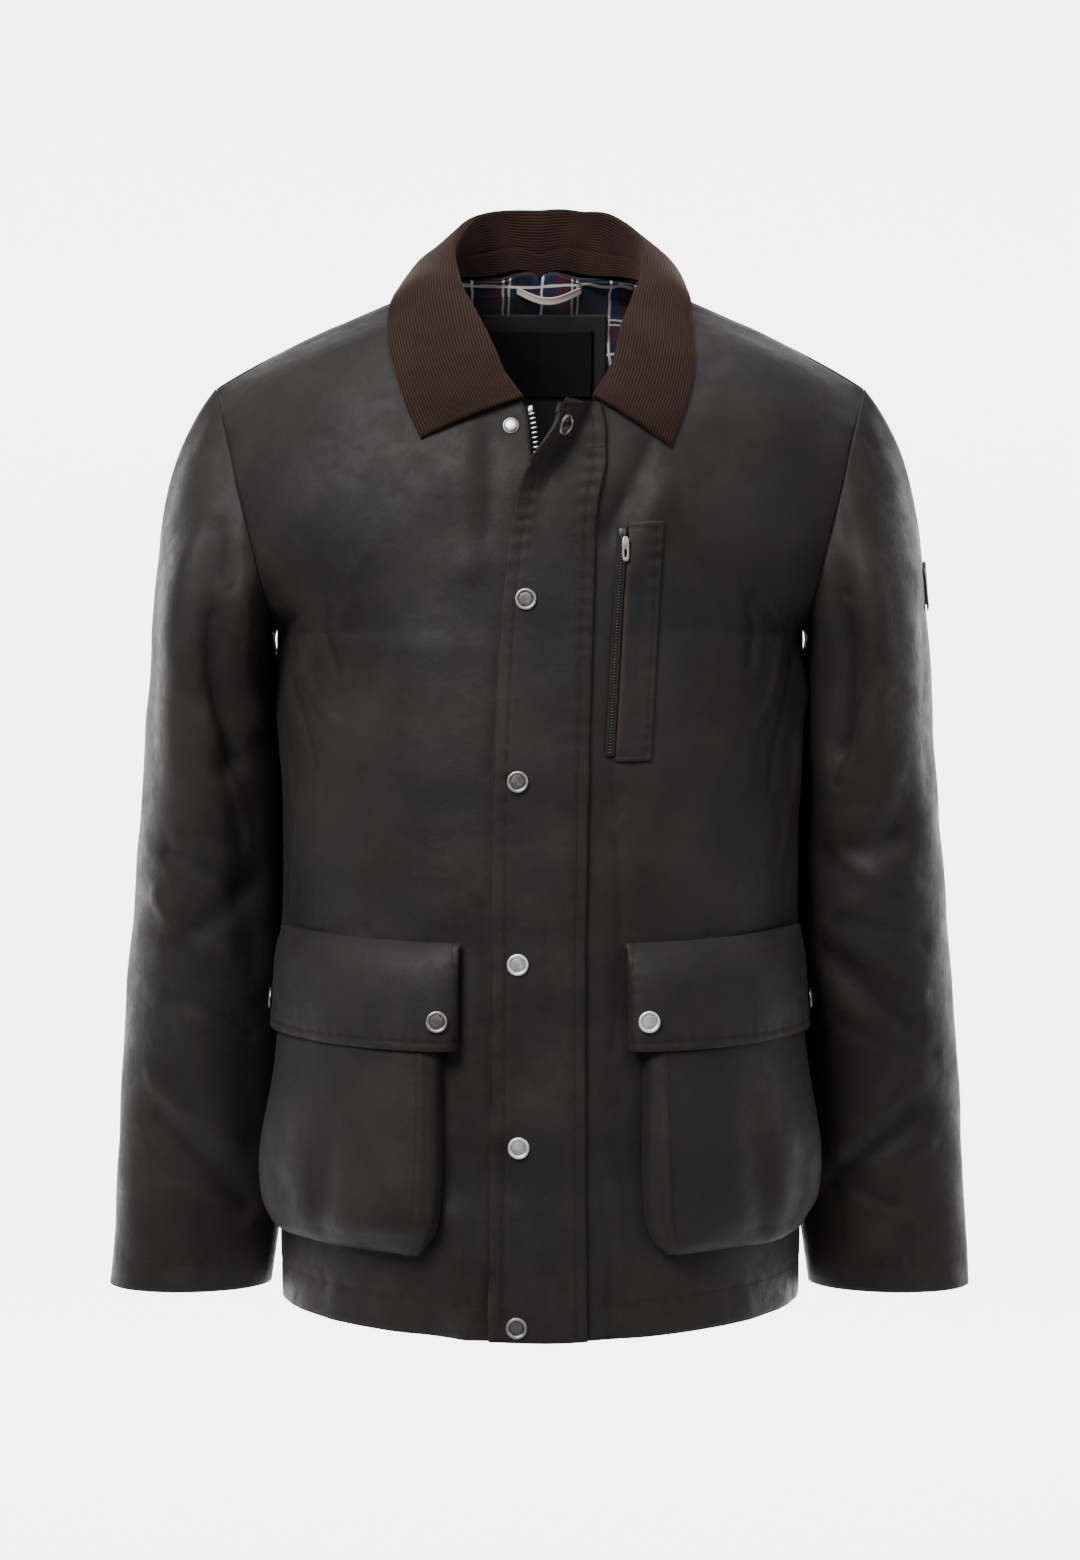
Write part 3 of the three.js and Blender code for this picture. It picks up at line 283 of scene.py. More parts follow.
SLEEVE_FOLDS = {
    Hand.RIGHT: [
        (72, -165, 112, -330, 14, -7.5, 0),
        (98, -165, 135, -300, 13, 5.5, 0),
        (48, -190, 62, -330, 17, 3.0, 0),
        (118, -340, 128, -470, 17, -5.0, 0),
        (80, -455, 135, -420, 13, -3.8, 0),
        (60, -590, 125, -655, 13, -4.0, 0),
        (85, -520, 110, -600, 16, 3.0, 0),
        (215, -400, 300, -440, 14, -4.6, 0),
        (235, -475, 310, -455, 14, -4.0, 0),
        (250, -200, 262, -360, 18, 3.6, 0),
        (240, -560, 285, -620, 14, -3.4, 0),
    ],
    Hand.LEFT: [
        (104, -195, 118, -320, 13, -7.0, 0),
        (80, -190, 92, -310, 15, 4.0, 0),
        (60, -350, 78, -420, 17, -3.0, 0),
        (72, -385, 128, -400, 13, -4.4, 0),
        (70, -405, 125, -450, 14, 3.4, 0),
        (70, -520, 128, -470, 13, -4.2, 0),
        (65, -560, 120, -610, 14, 3.2, 0),
        (72, -590, 125, -640, 13, -4.0, 0),
        (90, -655, 130, -620, 13, -3.0, 0),
        (218, -390, 300, -430, 14, -4.6, 0),
        (230, -470, 306, -500, 14, -4.0, 0),
        (248, -210, 265, -350, 18, 3.4, 0),
        (242, -590, 290, -555, 14, -3.4, 0),
    ],
}
SLEEVE_CREASES = {
    Hand.RIGHT: [
        (60, -120, 96, -205, 6, -2.0, 5),
        (70, -110, 108, -190, 6, 1.8, 5),
        (84, -230, 120, -330, 7, -2.2, -6),
        (92, -300, 128, -392, 7, 2.0, 5),
        (58, -395, 118, -430, 7, -1.8, 6),
        (50, -430, 120, -480, 7, 1.7, -6),
        (66, -500, 126, -530, 7, -1.5, 5),
        (54, -560, 118, -606, 7, 1.4, -5),
        (70, -640, 130, -668, 6, 1.3, 4),
        (225, -370, 305, -402, 7, 1.8, 6),
        (215, -430, 300, -466, 7, 1.8, -6),
        (225, -500, 300, -520, 7, -1.5, 5),
        (20, -200, 34, -330, 9, -1.0, 4),
    ],
    Hand.LEFT: [
        (66, -118, 98, -210, 6, -1.9, -5),
        (76, -112, 110, -196, 6, 1.7, 5),
        (84, -260, 122, -345, 7, -2.0, 6),
        (60, -420, 120, -396, 7, 1.7, -5),
        (52, -462, 118, -446, 7, -1.7, 5),
        (56, -500, 124, -462, 7, 1.6, 5),
        (48, -545, 116, -520, 7, -1.5, -5),
        (58, -610, 120, -640, 7, 1.5, 5),
        (70, -668, 130, -650, 6, 1.2, 4),
        (225, -360, 305, -396, 7, 1.8, -6),
        (215, -440, 300, -470, 7, 1.8, 6),
        (225, -520, 300, -540, 7, -1.5, 5),
        (26, -230, 36, -350, 9, -1.0, 4),
    ],
}


def turn_to(degrees: Array) -> Array:
    """The shorter way round to a direction, from -180 to 180 degrees."""
    return np.mod(degrees + 180, 360) - 180


def fold_height(folds: Iterable[Sequence[float]], across: Array, up: Array, per_degree: float) -> Array:
    """Height of the folds at places on a surface.

    Each fold is height times e to the minus of (distance over width) squared, where the distance is to a
    line that bows sideways by bend times 4 f (1 - f), with f the share of the way along it.

    Args:
        folds: rows of from, from z, to, to z, width, height and bend.
        across: degrees round at each place.
        up: height z at each place.
        per_degree: millimetres round for each degree.

    Returns:
        The summed height at each place.
    """
    height = np.zeros(np.broadcast(across, up).shape)
    for start, start_z, end, end_z, width, rise, bend in folds:
        run_x = turn_to(np.float64(end - start)) * per_degree
        run_z = end_z - start_z
        length = math.hypot(run_x, run_z)
        x = turn_to(across - start) * per_degree
        z = up - start_z
        f = np.clip((x * run_x + z * run_z) / length**2, 0, 1)
        side = (x * -run_z + z * run_x) / length - bend * 4 * f * (1 - f)
        along = (x * run_x + z * run_z) / length - f * length
        height += rise * np.exp(-(side**2 + along**2) / width**2)
    return height


def ripple(a: Array, b: Array, wave: float, seed: int) -> Array:
    """Soft unevenness: a third of the sum of twelve sines in seeded directions, near one wave length.

    Args:
        a: the first coordinate in millimetres.
        b: the second.
        wave: the usual wave length.
        seed: picks the directions and phases.

    Returns:
        Values mostly between -1 and 1.
    """
    rng = np.random.default_rng(seed)
    total = np.zeros(np.broadcast(a, b).shape)
    turns, phases, sizes = (rng.uniform(*span, 12) for span in ((0, math.pi), (0, 7), (0.7, 1.6)))
    for turn, phase, size in zip(turns, phases, sizes):
        total += np.sin((a * math.cos(turn) + b * math.sin(turn)) * 2 * math.pi / (wave * size) + phase)
    return total / 3


@dataclass(frozen=True)
class Panel:
    """Half of the front or back: s runs out to the side, t up the rows."""

    rows: Rows
    face: Face
    hand: Hand
    fine: bool = True

    def plain(self, s: Array, t: Array) -> Array:
        """Points of the panel without folds, in the left hand's sense.

        A section is an ellipse arc: with angle = s turn, x goes in to out by sin(angle) / sin(turn), y by
        (1 - cos(angle)) / (1 - cos(turn)) and z by s. Swell pushes the middle out by swell sin(pi s).
        """
        r = self.rows.at(t)
        turn = np.radians(r["turn"])
        angle = s * turn
        inner = r["inRight"] if self.hand is Hand.RIGHT else r["inLeft"]
        x = lerp(inner, r["outX"], np.sin(angle) / np.sin(turn))
        y = lerp(r["inY"], r["outY"], (1 - np.cos(angle)) / (1 - np.cos(turn)))
        swell = self.face.value * r["swell"] * np.sin(math.pi * np.clip(s, 0, 1))
        return np.stack([x, y + swell, lerp(r["inZ"], r["outZ"], s)], -1)

    def freedom(self, s: Array, t: Array) -> Array:
        """How freely a place may move: 0 at the armhole, neckline and shoulder seams, 1 away from them."""
        armhole = np.where(t > UNDERARM_ROW - 1, smooth((1 - s) * 6 + (UNDERARM_ROW - t) * 1.2), 1)
        neck = np.where(t > NECK_ROW - 1, smooth(s * 7 + (NECK_ROW - t)), 1)
        return armhole * neck * smooth((self.rows.last - t) / 2)

    def place(self, s: Array, t: Array) -> tuple[Array, Array]:
        """Points and ways out at (s, t), folds included.

        The way out is the cross product of small steps along and up. The back's halves share a centre
        line, where the way out has no sideways part.

        Args:
            s: share of the way out to the side.
            t: row positions.

        Returns:
            The points and the unit normals.
        """
        s, t = spread(s, t)
        step = 0.002
        along = self.plain(s + step, t) - self.plain(s - step, t)
        up = self.plain(s, t + step) - self.plain(s, t - step)
        normal = unit(np.cross(along, up) * -self.face.value)
        point = self.plain(s, t)
        around = 90 * s if self.face is Face.FRONT else 180 - 90 * s
        around = self.hand.value * around
        if self.face is Face.BACK:
            middle = (s == 0) & (t <= NECK_ROW)
            around = np.where(middle, 180.0, around)
            normal[..., 0] = np.where(middle, 0, normal[..., 0])
            normal = unit(normal)
        lift = fold_height(BODY_FOLDS, around, point[..., 2], GIRTH_PER_DEGREE)
        if self.fine:
            lift = lift + self.detail(around, point[..., 2])
        point = point + normal * (lift * self.freedom(s, t))[..., None]
        mirror = np.array([self.hand.value, 1, 1])
        return point * mirror, normal * mirror

    @staticmethod
    def detail(around: Array, z: Array) -> Array:
        """The fine creases and a soft unevenness of half a millimetre."""
        folded = np.cos(np.radians(around)) * 90 * GIRTH_PER_DEGREE
        creases = fold_height(BODY_CREASES, around, z, GIRTH_PER_DEGREE)
        return creases + 0.5 * ripple(folded, z, 95, 5) + 0.16 * ripple(folded, z, 34, 9)

    def row_of(self, z: Array, s_at: Callable[[Array], Array]) -> Array:
        """Row positions that reach heights z, found by halving; s_at gives s for row positions."""
        z = np.asarray(z, float)
        low, high = np.zeros_like(z), np.full_like(z, self.rows.last)
        for _ in range(26):
            t = (low + high) / 2
            r = self.rows.at(t)
            under = lerp(r["inZ"], r["outZ"], s_at(t)) < z
            low, high = np.where(under, t, low), np.where(under, high, t)
        return (low + high) / 2

    def find(self, x: Array, z: Array) -> tuple[Array, Array]:
        """The (s, t) of the places that lie at x across and z up."""
        x, z = spread(x, z)

        def s_at(t: Array) -> Array:
            """s from the share of the section's width, by the arc's own sine."""
            r = self.rows.at(t)
            turn = np.radians(r["turn"])
            inner = r["inRight"] if self.hand is Hand.RIGHT else r["inLeft"]
            reach = np.clip((self.hand.value * x - inner) / (r["outX"] - inner), -0.35, 1)
            return np.arcsin(reach * np.sin(turn)) / turn

        t = self.row_of(z, s_at)
        return s_at(t), t

    def over(self, x: Array, z: Array) -> tuple[Array, Array]:
        """The points and ways out at x across and z up."""
        return self.place(*self.find(x, z))

    def level(self, s: Array, z: Array) -> tuple[Array, Array]:
        """The points and ways out at s out to the side and z up."""
        s, z = spread(s, z)
        return self.place(s, self.row_of(z, lambda _: s))


FRONTS = {hand: Panel(FRONT_ROWS, Face.FRONT, hand) for hand in Hand}
BACKS = {hand: Panel(BACK_ROWS, Face.BACK, hand) for hand in Hand}


def chest_at(x: Array, z: Array) -> tuple[Array, Array]:
    """The front at x across and z up; near the middle it is the fuller of the two sides."""
    x, z = spread(x, z)
    right, left = FRONTS[Hand.RIGHT].over(x, z), FRONTS[Hand.LEFT].over(x, z)
    fuller = right[0][..., 1] < left[0][..., 1]
    use_right = np.where(np.abs(x) > 60, x < 0, fuller)[..., None]
    return np.where(use_right, right[0], left[0]), np.where(use_right, right[1], left[1])


def back_inside(x: Array, z: Array) -> tuple[Array, Array]:
    """The back's outer face at x across and z up, on whichever half it lies."""
    right, left = BACKS[Hand.RIGHT].over(x, z), BACKS[Hand.LEFT].over(x, z)
    use_right = (np.asarray(x) < 0)[..., None]
    return np.where(use_right, right[0], left[0]), np.where(use_right, right[1], left[1])


@dataclass
class Wall:
    """A cloth wall as a grid: its outer face, its inner face, and whether its columns close into a tube."""

    outer: Array
    inner: Array
    tube: bool = False

    @classmethod
    def laid(cls, places: tuple[Array, Array], lift: Array, thick: Array, **how: bool) -> "Wall":
        """The wall whose outer face lies lift above surface places, thick deep along their ways out.

        Args:
            places: points and unit normals on a grid.
            lift: height of the outer face above the points.
            thick: the wall's thickness.
            how: tube, as the wall has it.

        Returns:
            The wall.
        """
        point, normal = places
        lift = np.broadcast_to(lift, point.shape[:-1])[..., None]
        thick = np.broadcast_to(thick, point.shape[:-1])[..., None]
        outer = point + normal * lift
        return cls(outer, outer - normal * thick, **how)

    def arcs(self) -> tuple[Array, Array]:
        """Distances along the rows from the first column, and along the columns from the first row."""
        grid = np.concatenate([self.outer, self.outer[:, :1]], 1) if self.tube else self.outer
        along = np.linalg.norm(np.diff(grid, axis=1), axis=-1)
        down = np.linalg.norm(np.diff(grid, axis=0), axis=-1)
        u = np.concatenate([np.zeros((len(grid), 1)), np.cumsum(along, 1)], 1)
        v = np.concatenate([np.zeros((1, grid.shape[1])), np.cumsum(down, 0)], 0)
        return u, v

    def cut(self) -> tuple[tuple[float, float], float]:
        """The flat cut that this cloth shows, in metres.

        Returns:
            Its greatest width and length, and the area of the grid's quads, each half the cross product
            of its diagonals.
        """
        grid = np.concatenate([self.outer, self.outer[:, :1]], 1) if self.tube else self.outer
        u, v = self.arcs()
        one = grid[1:, 1:] - grid[:-1, :-1]
        other = grid[1:, :-1] - grid[:-1, 1:]
        area = float(np.linalg.norm(np.cross(one, other), axis=-1).sum() / 2)
        width, length = float(u[:, -1].max()), float(v[-1].max())
        return (width * MM, length * MM), min(area, width * length) * MM * MM

    def bend_values(self) -> Array:
        """Ridges above 0 and valleys below it: the grid's second difference along the way out, times 14."""
        grid = self.outer
        out = unit(self.outer - self.inner)
        around = np.roll(grid, 1, 1) + np.roll(grid, -1, 1) - 2 * grid
        upward = np.roll(grid, 1, 0) + np.roll(grid, -1, 0) - 2 * grid
        size_a = np.linalg.norm(np.roll(grid, -1, 1) - grid, axis=-1)
        size_b = np.linalg.norm(np.roll(grid, -1, 0) - grid, axis=-1)
        value = -dot(around, out) / np.maximum(size_a, 0.4) ** 2
        value = value - dot(upward, out) / np.maximum(size_b, 0.4) ** 2
        value[0], value[-1] = value[1], value[-2]
        if not self.tube:
            value[:, 0], value[:, -1] = value[:, 1], value[:, -2]
        return np.clip(value * 14, -1, 1)

    def arrays(self, marks: Optional[dict[str, Array]] = None, joined_rows: int = 0) -> dict[str, Array]:
        """The wall as closed mesh arrays: outer quads, inner quads turned round, and a rim.

        Args:
            marks: extra values for each grid point, kept as point attributes.
            joined_rows: how many of the first column's steps have no rim, because another wall joins there.

        Returns:
            points, faces, uv, values, kinds and rounded, as make_mesh takes them. The outer face and the
            rim have material 0, the inner face 1.
        """
        rows, columns = self.outer.shape[:2]
        index = np.arange(rows * columns).reshape(rows, columns)
        ring = np.concatenate([index, index[:, :1]], 1) if self.tube else index
        quads = np.stack([ring[:-1, :-1], ring[:-1, 1:], ring[1:, 1:], ring[1:, :-1]], -1).reshape(-1, 4)
        lines = [ring[0], ring[-1][::-1]]
        if not self.tube:
            lines += [index[joined_rows:, 0][::-1], index[:, -1]]
        count = rows * columns
        rims = [np.stack([line[1:], line[:-1], line[:-1] + count, line[1:] + count], -1) for line in lines]
        faces = np.concatenate([quads, quads[:, ::-1] + count, *rims])
        points = np.concatenate([self.outer.reshape(-1, 3), self.inner.reshape(-1, 3)])
        values = {"bend": self.bend_values(), **(marks or {})}
        values = {key: np.tile(np.broadcast_to(v, (rows, columns)).ravel(), 2) for key, v in values.items()}
        u, v = self.arcs()
        flat = np.stack([u, v], -1) * MM
        corners = np.stack([flat[:-1, :-1], flat[:-1, 1:], flat[1:, 1:], flat[1:, :-1]], -2).reshape(-1, 4, 2)
        rim_count = len(faces) - 2 * len(quads)
        uv = np.concatenate([corners, corners[:, ::-1], np.zeros((rim_count, 4, 2))])
        a, b, c = (points[faces[:, k]] for k in (0, 1, 2))
        if dot(a, np.cross(b, c)).sum() + dot(a, np.cross(c, points[faces[:, 3]])).sum() < 0:
            faces, uv = faces[:, ::-1], uv[:, ::-1]
        kinds = np.repeat([0, 1, 0], [len(quads), len(quads), rim_count]).astype(np.int32)
        rounded = np.repeat([True, False], [2 * len(quads), rim_count])
        made = {"points": points, "faces": faces, "uv": uv, "values": values}
        return {**made, "kinds": kinds, "rounded": rounded}


def welded(parts: Sequence[dict]) -> dict:
    """One mesh's arrays from several, with points closer than a thousandth of a millimetre made one."""
    points = np.concatenate([part["points"] for part in parts])
    starts = np.cumsum([0] + [len(part["points"]) for part in parts[:-1]])
    faces = np.concatenate([part["faces"] + start for part, start in zip(parts, starts)])
    _, first, back = np.unique(np.round(points, 3) + 0.0, axis=0, return_index=True, return_inverse=True)
    made = {key: np.concatenate([part[key] for part in parts]) for key in ("uv", "kinds", "rounded")}
    values = {key: np.concatenate([p["values"][key] for p in parts])[first] for key in parts[0]["values"]}
    return {"points": points[first], "faces": back.reshape(-1)[faces], "values": values, **made}


def make_mesh(
    name: str,
    points: Array,
    faces: Array,
    uv: Optional[Array] = None,
    values: Optional[dict[str, Array]] = None,
    kinds: Optional[Array] = None,
    rounded: Optional[Array] = None,
) -> bpy.types.Object:
    """A mesh object from whole arrays, with its place in its vertices.

    Args:
        name: the object's name.
        points: vertex places in millimetres.
        faces: four vertex indices a row.
        uv: one pair for each corner of each face.
        values: point attributes by name.
        kinds: a material index for each face.
        rounded: which faces are shaded smooth; all if left out.

    Returns:
        The object, linked to the scene.
    """
    mesh = bpy.data.meshes.new(name)
    mesh.vertices.add(len(points))
    mesh.vertices.foreach_set("co", (points * MM).astype(np.float32).ravel())
    mesh.loops.add(faces.size)
    mesh.loops.foreach_set("vertex_index", faces.astype(np.int32).ravel())
    mesh.polygons.add(len(faces))
    mesh.polygons.foreach_set("loop_start", np.arange(0, faces.size, faces.shape[1], dtype=np.int32))
    if kinds is not None:
        mesh.polygons.foreach_set("material_index", kinds)
    mesh.update(calc_edges=True)
    shade = np.ones(len(faces), dtype=bool) if rounded is None else rounded
    mesh.polygons.foreach_set("use_smooth", shade)
    if uv is not None:
        layer = mesh.uv_layers.new(name="cloth")
        layer.data.foreach_set("uv", uv.astype(np.float32).ravel())
    for key, value in (values or {}).items():
        attribute = mesh.attributes.new(key, "FLOAT", "POINT")
        attribute.data.foreach_set("value", value.astype(np.float32).ravel())
    mesh.validate()
    obj = bpy.data.objects.new(name, mesh)
    bpy.context.scene.collection.objects.link(obj)
    return obj


def join_grids(grids: Sequence[Array], closed: bool = True) -> tuple[Array, Array]:
    """Points and quads of many grids of one size.

    Args:
        grids: an array of shape (pieces, rows, columns, 3).
        closed: whether each grid's columns close into a ring.

    Returns:
        The points and the faces.
    """
    grids = np.asarray(grids)
    pieces, rows, columns = grids.shape[:3]
    index = np.arange(rows * columns).reshape(rows, columns)
    ring = np.concatenate([index, index[:, :1]], 1) if closed else index
    quads = np.stack([ring[:-1, :-1], ring[:-1, 1:], ring[1:, 1:], ring[1:, :-1]], -1).reshape(-1, 4)
    faces = quads[None] + (np.arange(pieces) * rows * columns)[:, None, None]
    return grids.reshape(-1, 3), faces.reshape(-1, 4)


class Graph:
    """Makes nodes and links in a material's or group's node tree."""

    def __init__(self, tree: bpy.types.NodeTree) -> None:
        """Keeps the tree."""
        self.tree = tree

    def node(self, kind: str, inputs: Optional[dict] = None, **settings: object) -> bpy.types.Node:
        """A node of a kind, with settings on it and values or links on its inputs.

        Args:
            kind: the node's type name.
            inputs: input name or number to a value or to an output socket.
            settings: attributes of the node.

        Returns:
            The node.
        """
        made = self.tree.nodes.new(kind)
        for key, value in settings.items():
            setattr(made, key, value)
        for key, value in (inputs or {}).items():
            socket = made.inputs[key]
            if isinstance(value, bpy.types.NodeSocket):
                self.tree.links.new(value, socket)
            else:
                socket.default_value = value
        return made

    def maths(self, operation: str, a: object, b: object = 0.0, clamp: bool = False) -> bpy.types.NodeSocket:
        """The result of a Math node."""
        return self.node("ShaderNodeMath", {0: a, 1: b}, operation=operation, use_clamp=clamp).outputs[0]

    def noise(self, vector: object, scale: float, detail: float, rough: float) -> bpy.types.NodeSocket:
        """The value of a Noise Texture."""
        inputs = {"Vector": vector, "Scale": scale, "Detail": detail, "Roughness": rough}
        return self.node("ShaderNodeTexNoise", inputs).outputs["Fac"]

    def ramp(self, value: object, low: float, high: float) -> bpy.types.NodeSocket:
        """0 below low, 1 above high, smooth between."""
        inputs = {"Value": value, "From Min": low, "From Max": high}
        return self.node("ShaderNodeMapRange", inputs, interpolation_type="SMOOTHSTEP").outputs[0]

    def blend(self, factor: object, a: object, b: object) -> bpy.types.NodeSocket:
        """The colour that is factor of the way from a to b."""
        made = self.node("ShaderNodeMix", {"Factor": factor}, data_type="RGBA")
        for name, value in (("A", a), ("B", b)):
            socket = next(s for s in made.inputs if s.name == name and s.type == "RGBA")
            if isinstance(value, bpy.types.NodeSocket):
                self.tree.links.new(value, socket)
            else:
                socket.default_value = (*value, 1.0)
        return next(s for s in made.outputs if s.type == "RGBA")


@dataclass(frozen=True)
class Group:
    """A shader node group with named inputs and outputs, made once and placed in many materials."""

    name: str
    inputs: tuple[tuple[str, str, float], ...]
    outputs: tuple[tuple[str, str], ...]
    wire: Callable[[Graph, bpy.types.Node], dict[str, bpy.types.NodeSocket]]

    def tree(self) -> bpy.types.NodeTree:
        """The group's tree, built when it is first asked for."""
        found = bpy.data.node_groups.get(self.name)
        if found:
            return found
        tree = bpy.data.node_groups.new(self.name, "ShaderNodeTree")
        for name, kind, value in self.inputs:
            socket = tree.interface.new_socket(name, in_out="INPUT", socket_type=kind)
            if kind == "NodeSocketFloat":
                socket.default_value = value
        for name, kind in self.outputs:
            tree.interface.new_socket(name, in_out="OUTPUT", socket_type=kind)
        graph = Graph(tree)
        start = tree.nodes.new("NodeGroupInput")
        end = tree.nodes.new("NodeGroupOutput")
        for name, socket in self.wire(graph, start).items():
            tree.links.new(socket, end.inputs[name])
        return tree

    def place(self, graph: Graph, inputs: dict) -> bpy.types.Node:
        """This group as a node in a graph, with values or links on its inputs."""
        return graph.node("ShaderNodeGroup", inputs, node_tree=self.tree())


FLOAT, VECTOR, COLOUR = "NodeSocketFloat", "NodeSocketVector", "NodeSocketColor"


def wire_mottle(graph: Graph, start: bpy.types.Node) -> dict[str, bpy.types.NodeSocket]:
    """Cloudy and fleck masks from noise at a size and a fifth of it, and a bluish one a third over."""
    place = start.outputs["Place"]
    size = start.outputs["Scale"]
    cloud = graph.noise(place, 1.0, 4.0, 0.6)
    cloud_node = cloud.node
    graph.tree.links.new(size, cloud_node.inputs["Scale"])
    fine = graph.noise(place, 1.0, 5.0, 0.7)
    graph.tree.links.new(graph.maths("MULTIPLY", size, 5.3), fine.node.inputs["Scale"])
    cool = graph.noise(place, 1.0, 2.0, 0.5)
    graph.tree.links.new(graph.maths("MULTIPLY", size, 0.63), cool.node.inputs["Scale"])
    return {
        "Cloud": graph.ramp(cloud, 0.35, 0.68),
        "Fleck": graph.ramp(fine, 0.38, 0.66),
        "Cool": graph.ramp(cool, 0.42, 0.62),
    }


def wire_weave(graph: Graph, start: bpy.types.Node) -> dict[str, bpy.types.NodeSocket]:
    """A plain weave's height: the product of one sine across and one up, each over the thread size."""
    split = graph.node("ShaderNodeSeparateXYZ", {0: start.outputs["Place"]})
    turns = graph.maths("DIVIDE", 2 * math.pi, start.outputs["Thread"])
    a = graph.maths("SINE", graph.maths("MULTIPLY", split.outputs[0], turns))
    b = graph.maths("SINE", graph.maths("MULTIPLY", split.outputs[1], turns))
    return {"Height": graph.maths("MULTIPLY_ADD", graph.maths("MULTIPLY", a, b), 0.5)}


def wire_line(graph: Graph, start: bpy.types.Node) -> dict[str, bpy.types.NodeSocket]:
    """A soft line every repeat: 1 where the distance to its middle is under half its width."""
    offset = graph.maths("SUBTRACT", start.outputs["Along"], start.outputs["Middle"])
    share = graph.maths("DIVIDE", offset, start.outputs["Repeat"])
    whole = graph.maths("ROUND", share)
    apart = graph.maths("ABSOLUTE", graph.maths("SUBTRACT", share, whole))
    distance = graph.maths("MULTIPLY", apart, start.outputs["Repeat"])
    half = graph.maths("DIVIDE", start.outputs["Width"], 2.0)
    inside = graph.maths("SUBTRACT", half, distance)
    edge = graph.maths("DIVIDE", inside, start.outputs["Edge"])
    return {"Mask": graph.maths("ADD", edge, 0.5, clamp=True)}


MOTTLE = Group(
    "cloth_mottle",
    (("Place", VECTOR, 0), ("Scale", FLOAT, 12.0)),
    (("Cloud", FLOAT), ("Fleck", FLOAT), ("Cool", FLOAT)),
    wire_mottle,
)
WEAVE = Group(
    "plain_weave",
    (("Place", VECTOR, 0), ("Thread", FLOAT, 0.0007)),
    (("Height", FLOAT),),
    wire_weave,
)
LINE = Group(
    "repeated_line",
    (
        ("Along", FLOAT, 0),
        ("Middle", FLOAT, 0),
        ("Repeat", FLOAT, 0.05),
        ("Width", FLOAT, 0.002),
        ("Edge", FLOAT, 0.0003),
    ),
    (("Mask", FLOAT),),
    wire_line,
)


@dataclass(frozen=True)
class Finish:
    """What every finish shares: a name, and a material made once."""

    name: str

    def material(self) -> bpy.types.Material:
        """The material, built when it is first asked for."""
        found = bpy.data.materials.get(self.name)
        if found:
            return found
        made = bpy.data.materials.new(self.name)
        made.use_nodes = True
        made.node_tree.nodes.clear()
        graph = Graph(made.node_tree)
        shader = graph.node("ShaderNodeBsdfPrincipled")
        graph.node("ShaderNodeOutputMaterial", {"Surface": shader.outputs[0]})
        self.dress(graph, shader)
        return made

    def dress(self, graph: Graph, shader: bpy.types.Node) -> None:
        """Wires the material; each finish has its own."""
        raise NotImplementedError

    @staticmethod
    def set(shader: bpy.types.Node, **values: float) -> None:
        """Sets sockets of the shader that are the same all over."""
        for key, value in values.items():
            shader.inputs[key.replace("_", " ")].default_value = value


@dataclass(frozen=True)
class WaxedCotton(Finish):
    """Dark waxed cotton: cloudy, with brown rub on its ridges, painted shade in its fold valleys, a fine
    grain and a soft sheen.
    """

    dark: Colour = (0.0105, 0.0092, 0.0087)
    light: Colour = (0.0195, 0.0170, 0.0158)
    brown: Colour = (0.0260, 0.0160, 0.0128)
    cool: Colour = (0.0140, 0.0141, 0.0150)
    rough: float = 0.56

    def dress(self, graph: Graph, shader: bpy.types.Node) -> None:
        """Base colour from the mottle and bend masks, with painted shade in the fold valleys; roughness from
        the cloud, bump from grain and weave.
        """
        place = graph.node("ShaderNodeTexCoord").outputs["Object"]
        uv = graph.node("ShaderNodeUVMap", uv_map="cloth").outputs["UV"]
        bend = graph.node("ShaderNodeAttribute", attribute_name="bend").outputs["Fac"]
        worn = graph.node("ShaderNodeAttribute", attribute_name="worn").outputs["Fac"]
        masks = MOTTLE.place(graph, {"Place": place, "Scale": 11.0})
        colour = graph.blend(masks.outputs["Cloud"], self.dark, self.light)
        colour = graph.blend(graph.maths("MULTIPLY", masks.outputs["Cool"], 0.35), colour, self.cool)
        ridge = graph.maths("MULTIPLY", graph.ramp(bend, 0.05, 0.9), 0.3)
        rub = graph.maths("ADD", ridge, graph.maths("MULTIPLY", worn, 0.6), clamp=True)
        rub = graph.maths("MULTIPLY", rub, masks.outputs["Fleck"], clamp=True)
        colour = graph.blend(rub, colour, self.brown)
        # Painted shade: the valleys of the folds are darkened towards 0.45 of the dark colour.
        valley_shade = graph.maths("MULTIPLY", graph.ramp(graph.maths("MULTIPLY", bend, -1.0), 0.05, 0.9), 0.4)
        colour = graph.blend(valley_shade, colour, tuple(0.45 * c for c in self.dark))
        graph.tree.links.new(colour, shader.inputs["Base Color"])
        fleck = graph.maths("MULTIPLY", masks.outputs["Fleck"], 0.14)
        rough = graph.maths("ADD", fleck, graph.maths("MULTIPLY", masks.outputs["Cloud"], 0.06))
        graph.tree.links.new(graph.maths("ADD", rough, self.rough - 0.1), shader.inputs["Roughness"])
        grain = graph.noise(place, 520.0, 4.0, 0.65)
        crumple = graph.noise(place, 60.0, 4.0, 0.6)
        weave = WEAVE.place(graph, {"Place": uv, "Thread": 0.0009}).outputs["Height"]
        height = graph.maths("ADD", graph.maths("MULTIPLY", grain, 0.6), graph.maths("MULTIPLY", weave, 0.5))
        fine = graph.node("ShaderNodeBump", {"Strength": 0.28, "Distance": 0.0005, "Height": height})
        soft = graph.node(
            "ShaderNodeBump",
            {"Strength": 0.35, "Distance": 0.0018, "Height": crumple, "Normal": fine.outputs[0]},
        )
        graph.tree.links.new(soft.outputs[0], shader.inputs["Normal"])
        self.set(shader, Specular_IOR_Level=0.16, Sheen_Weight=0.015, Sheen_Roughness=0.5)


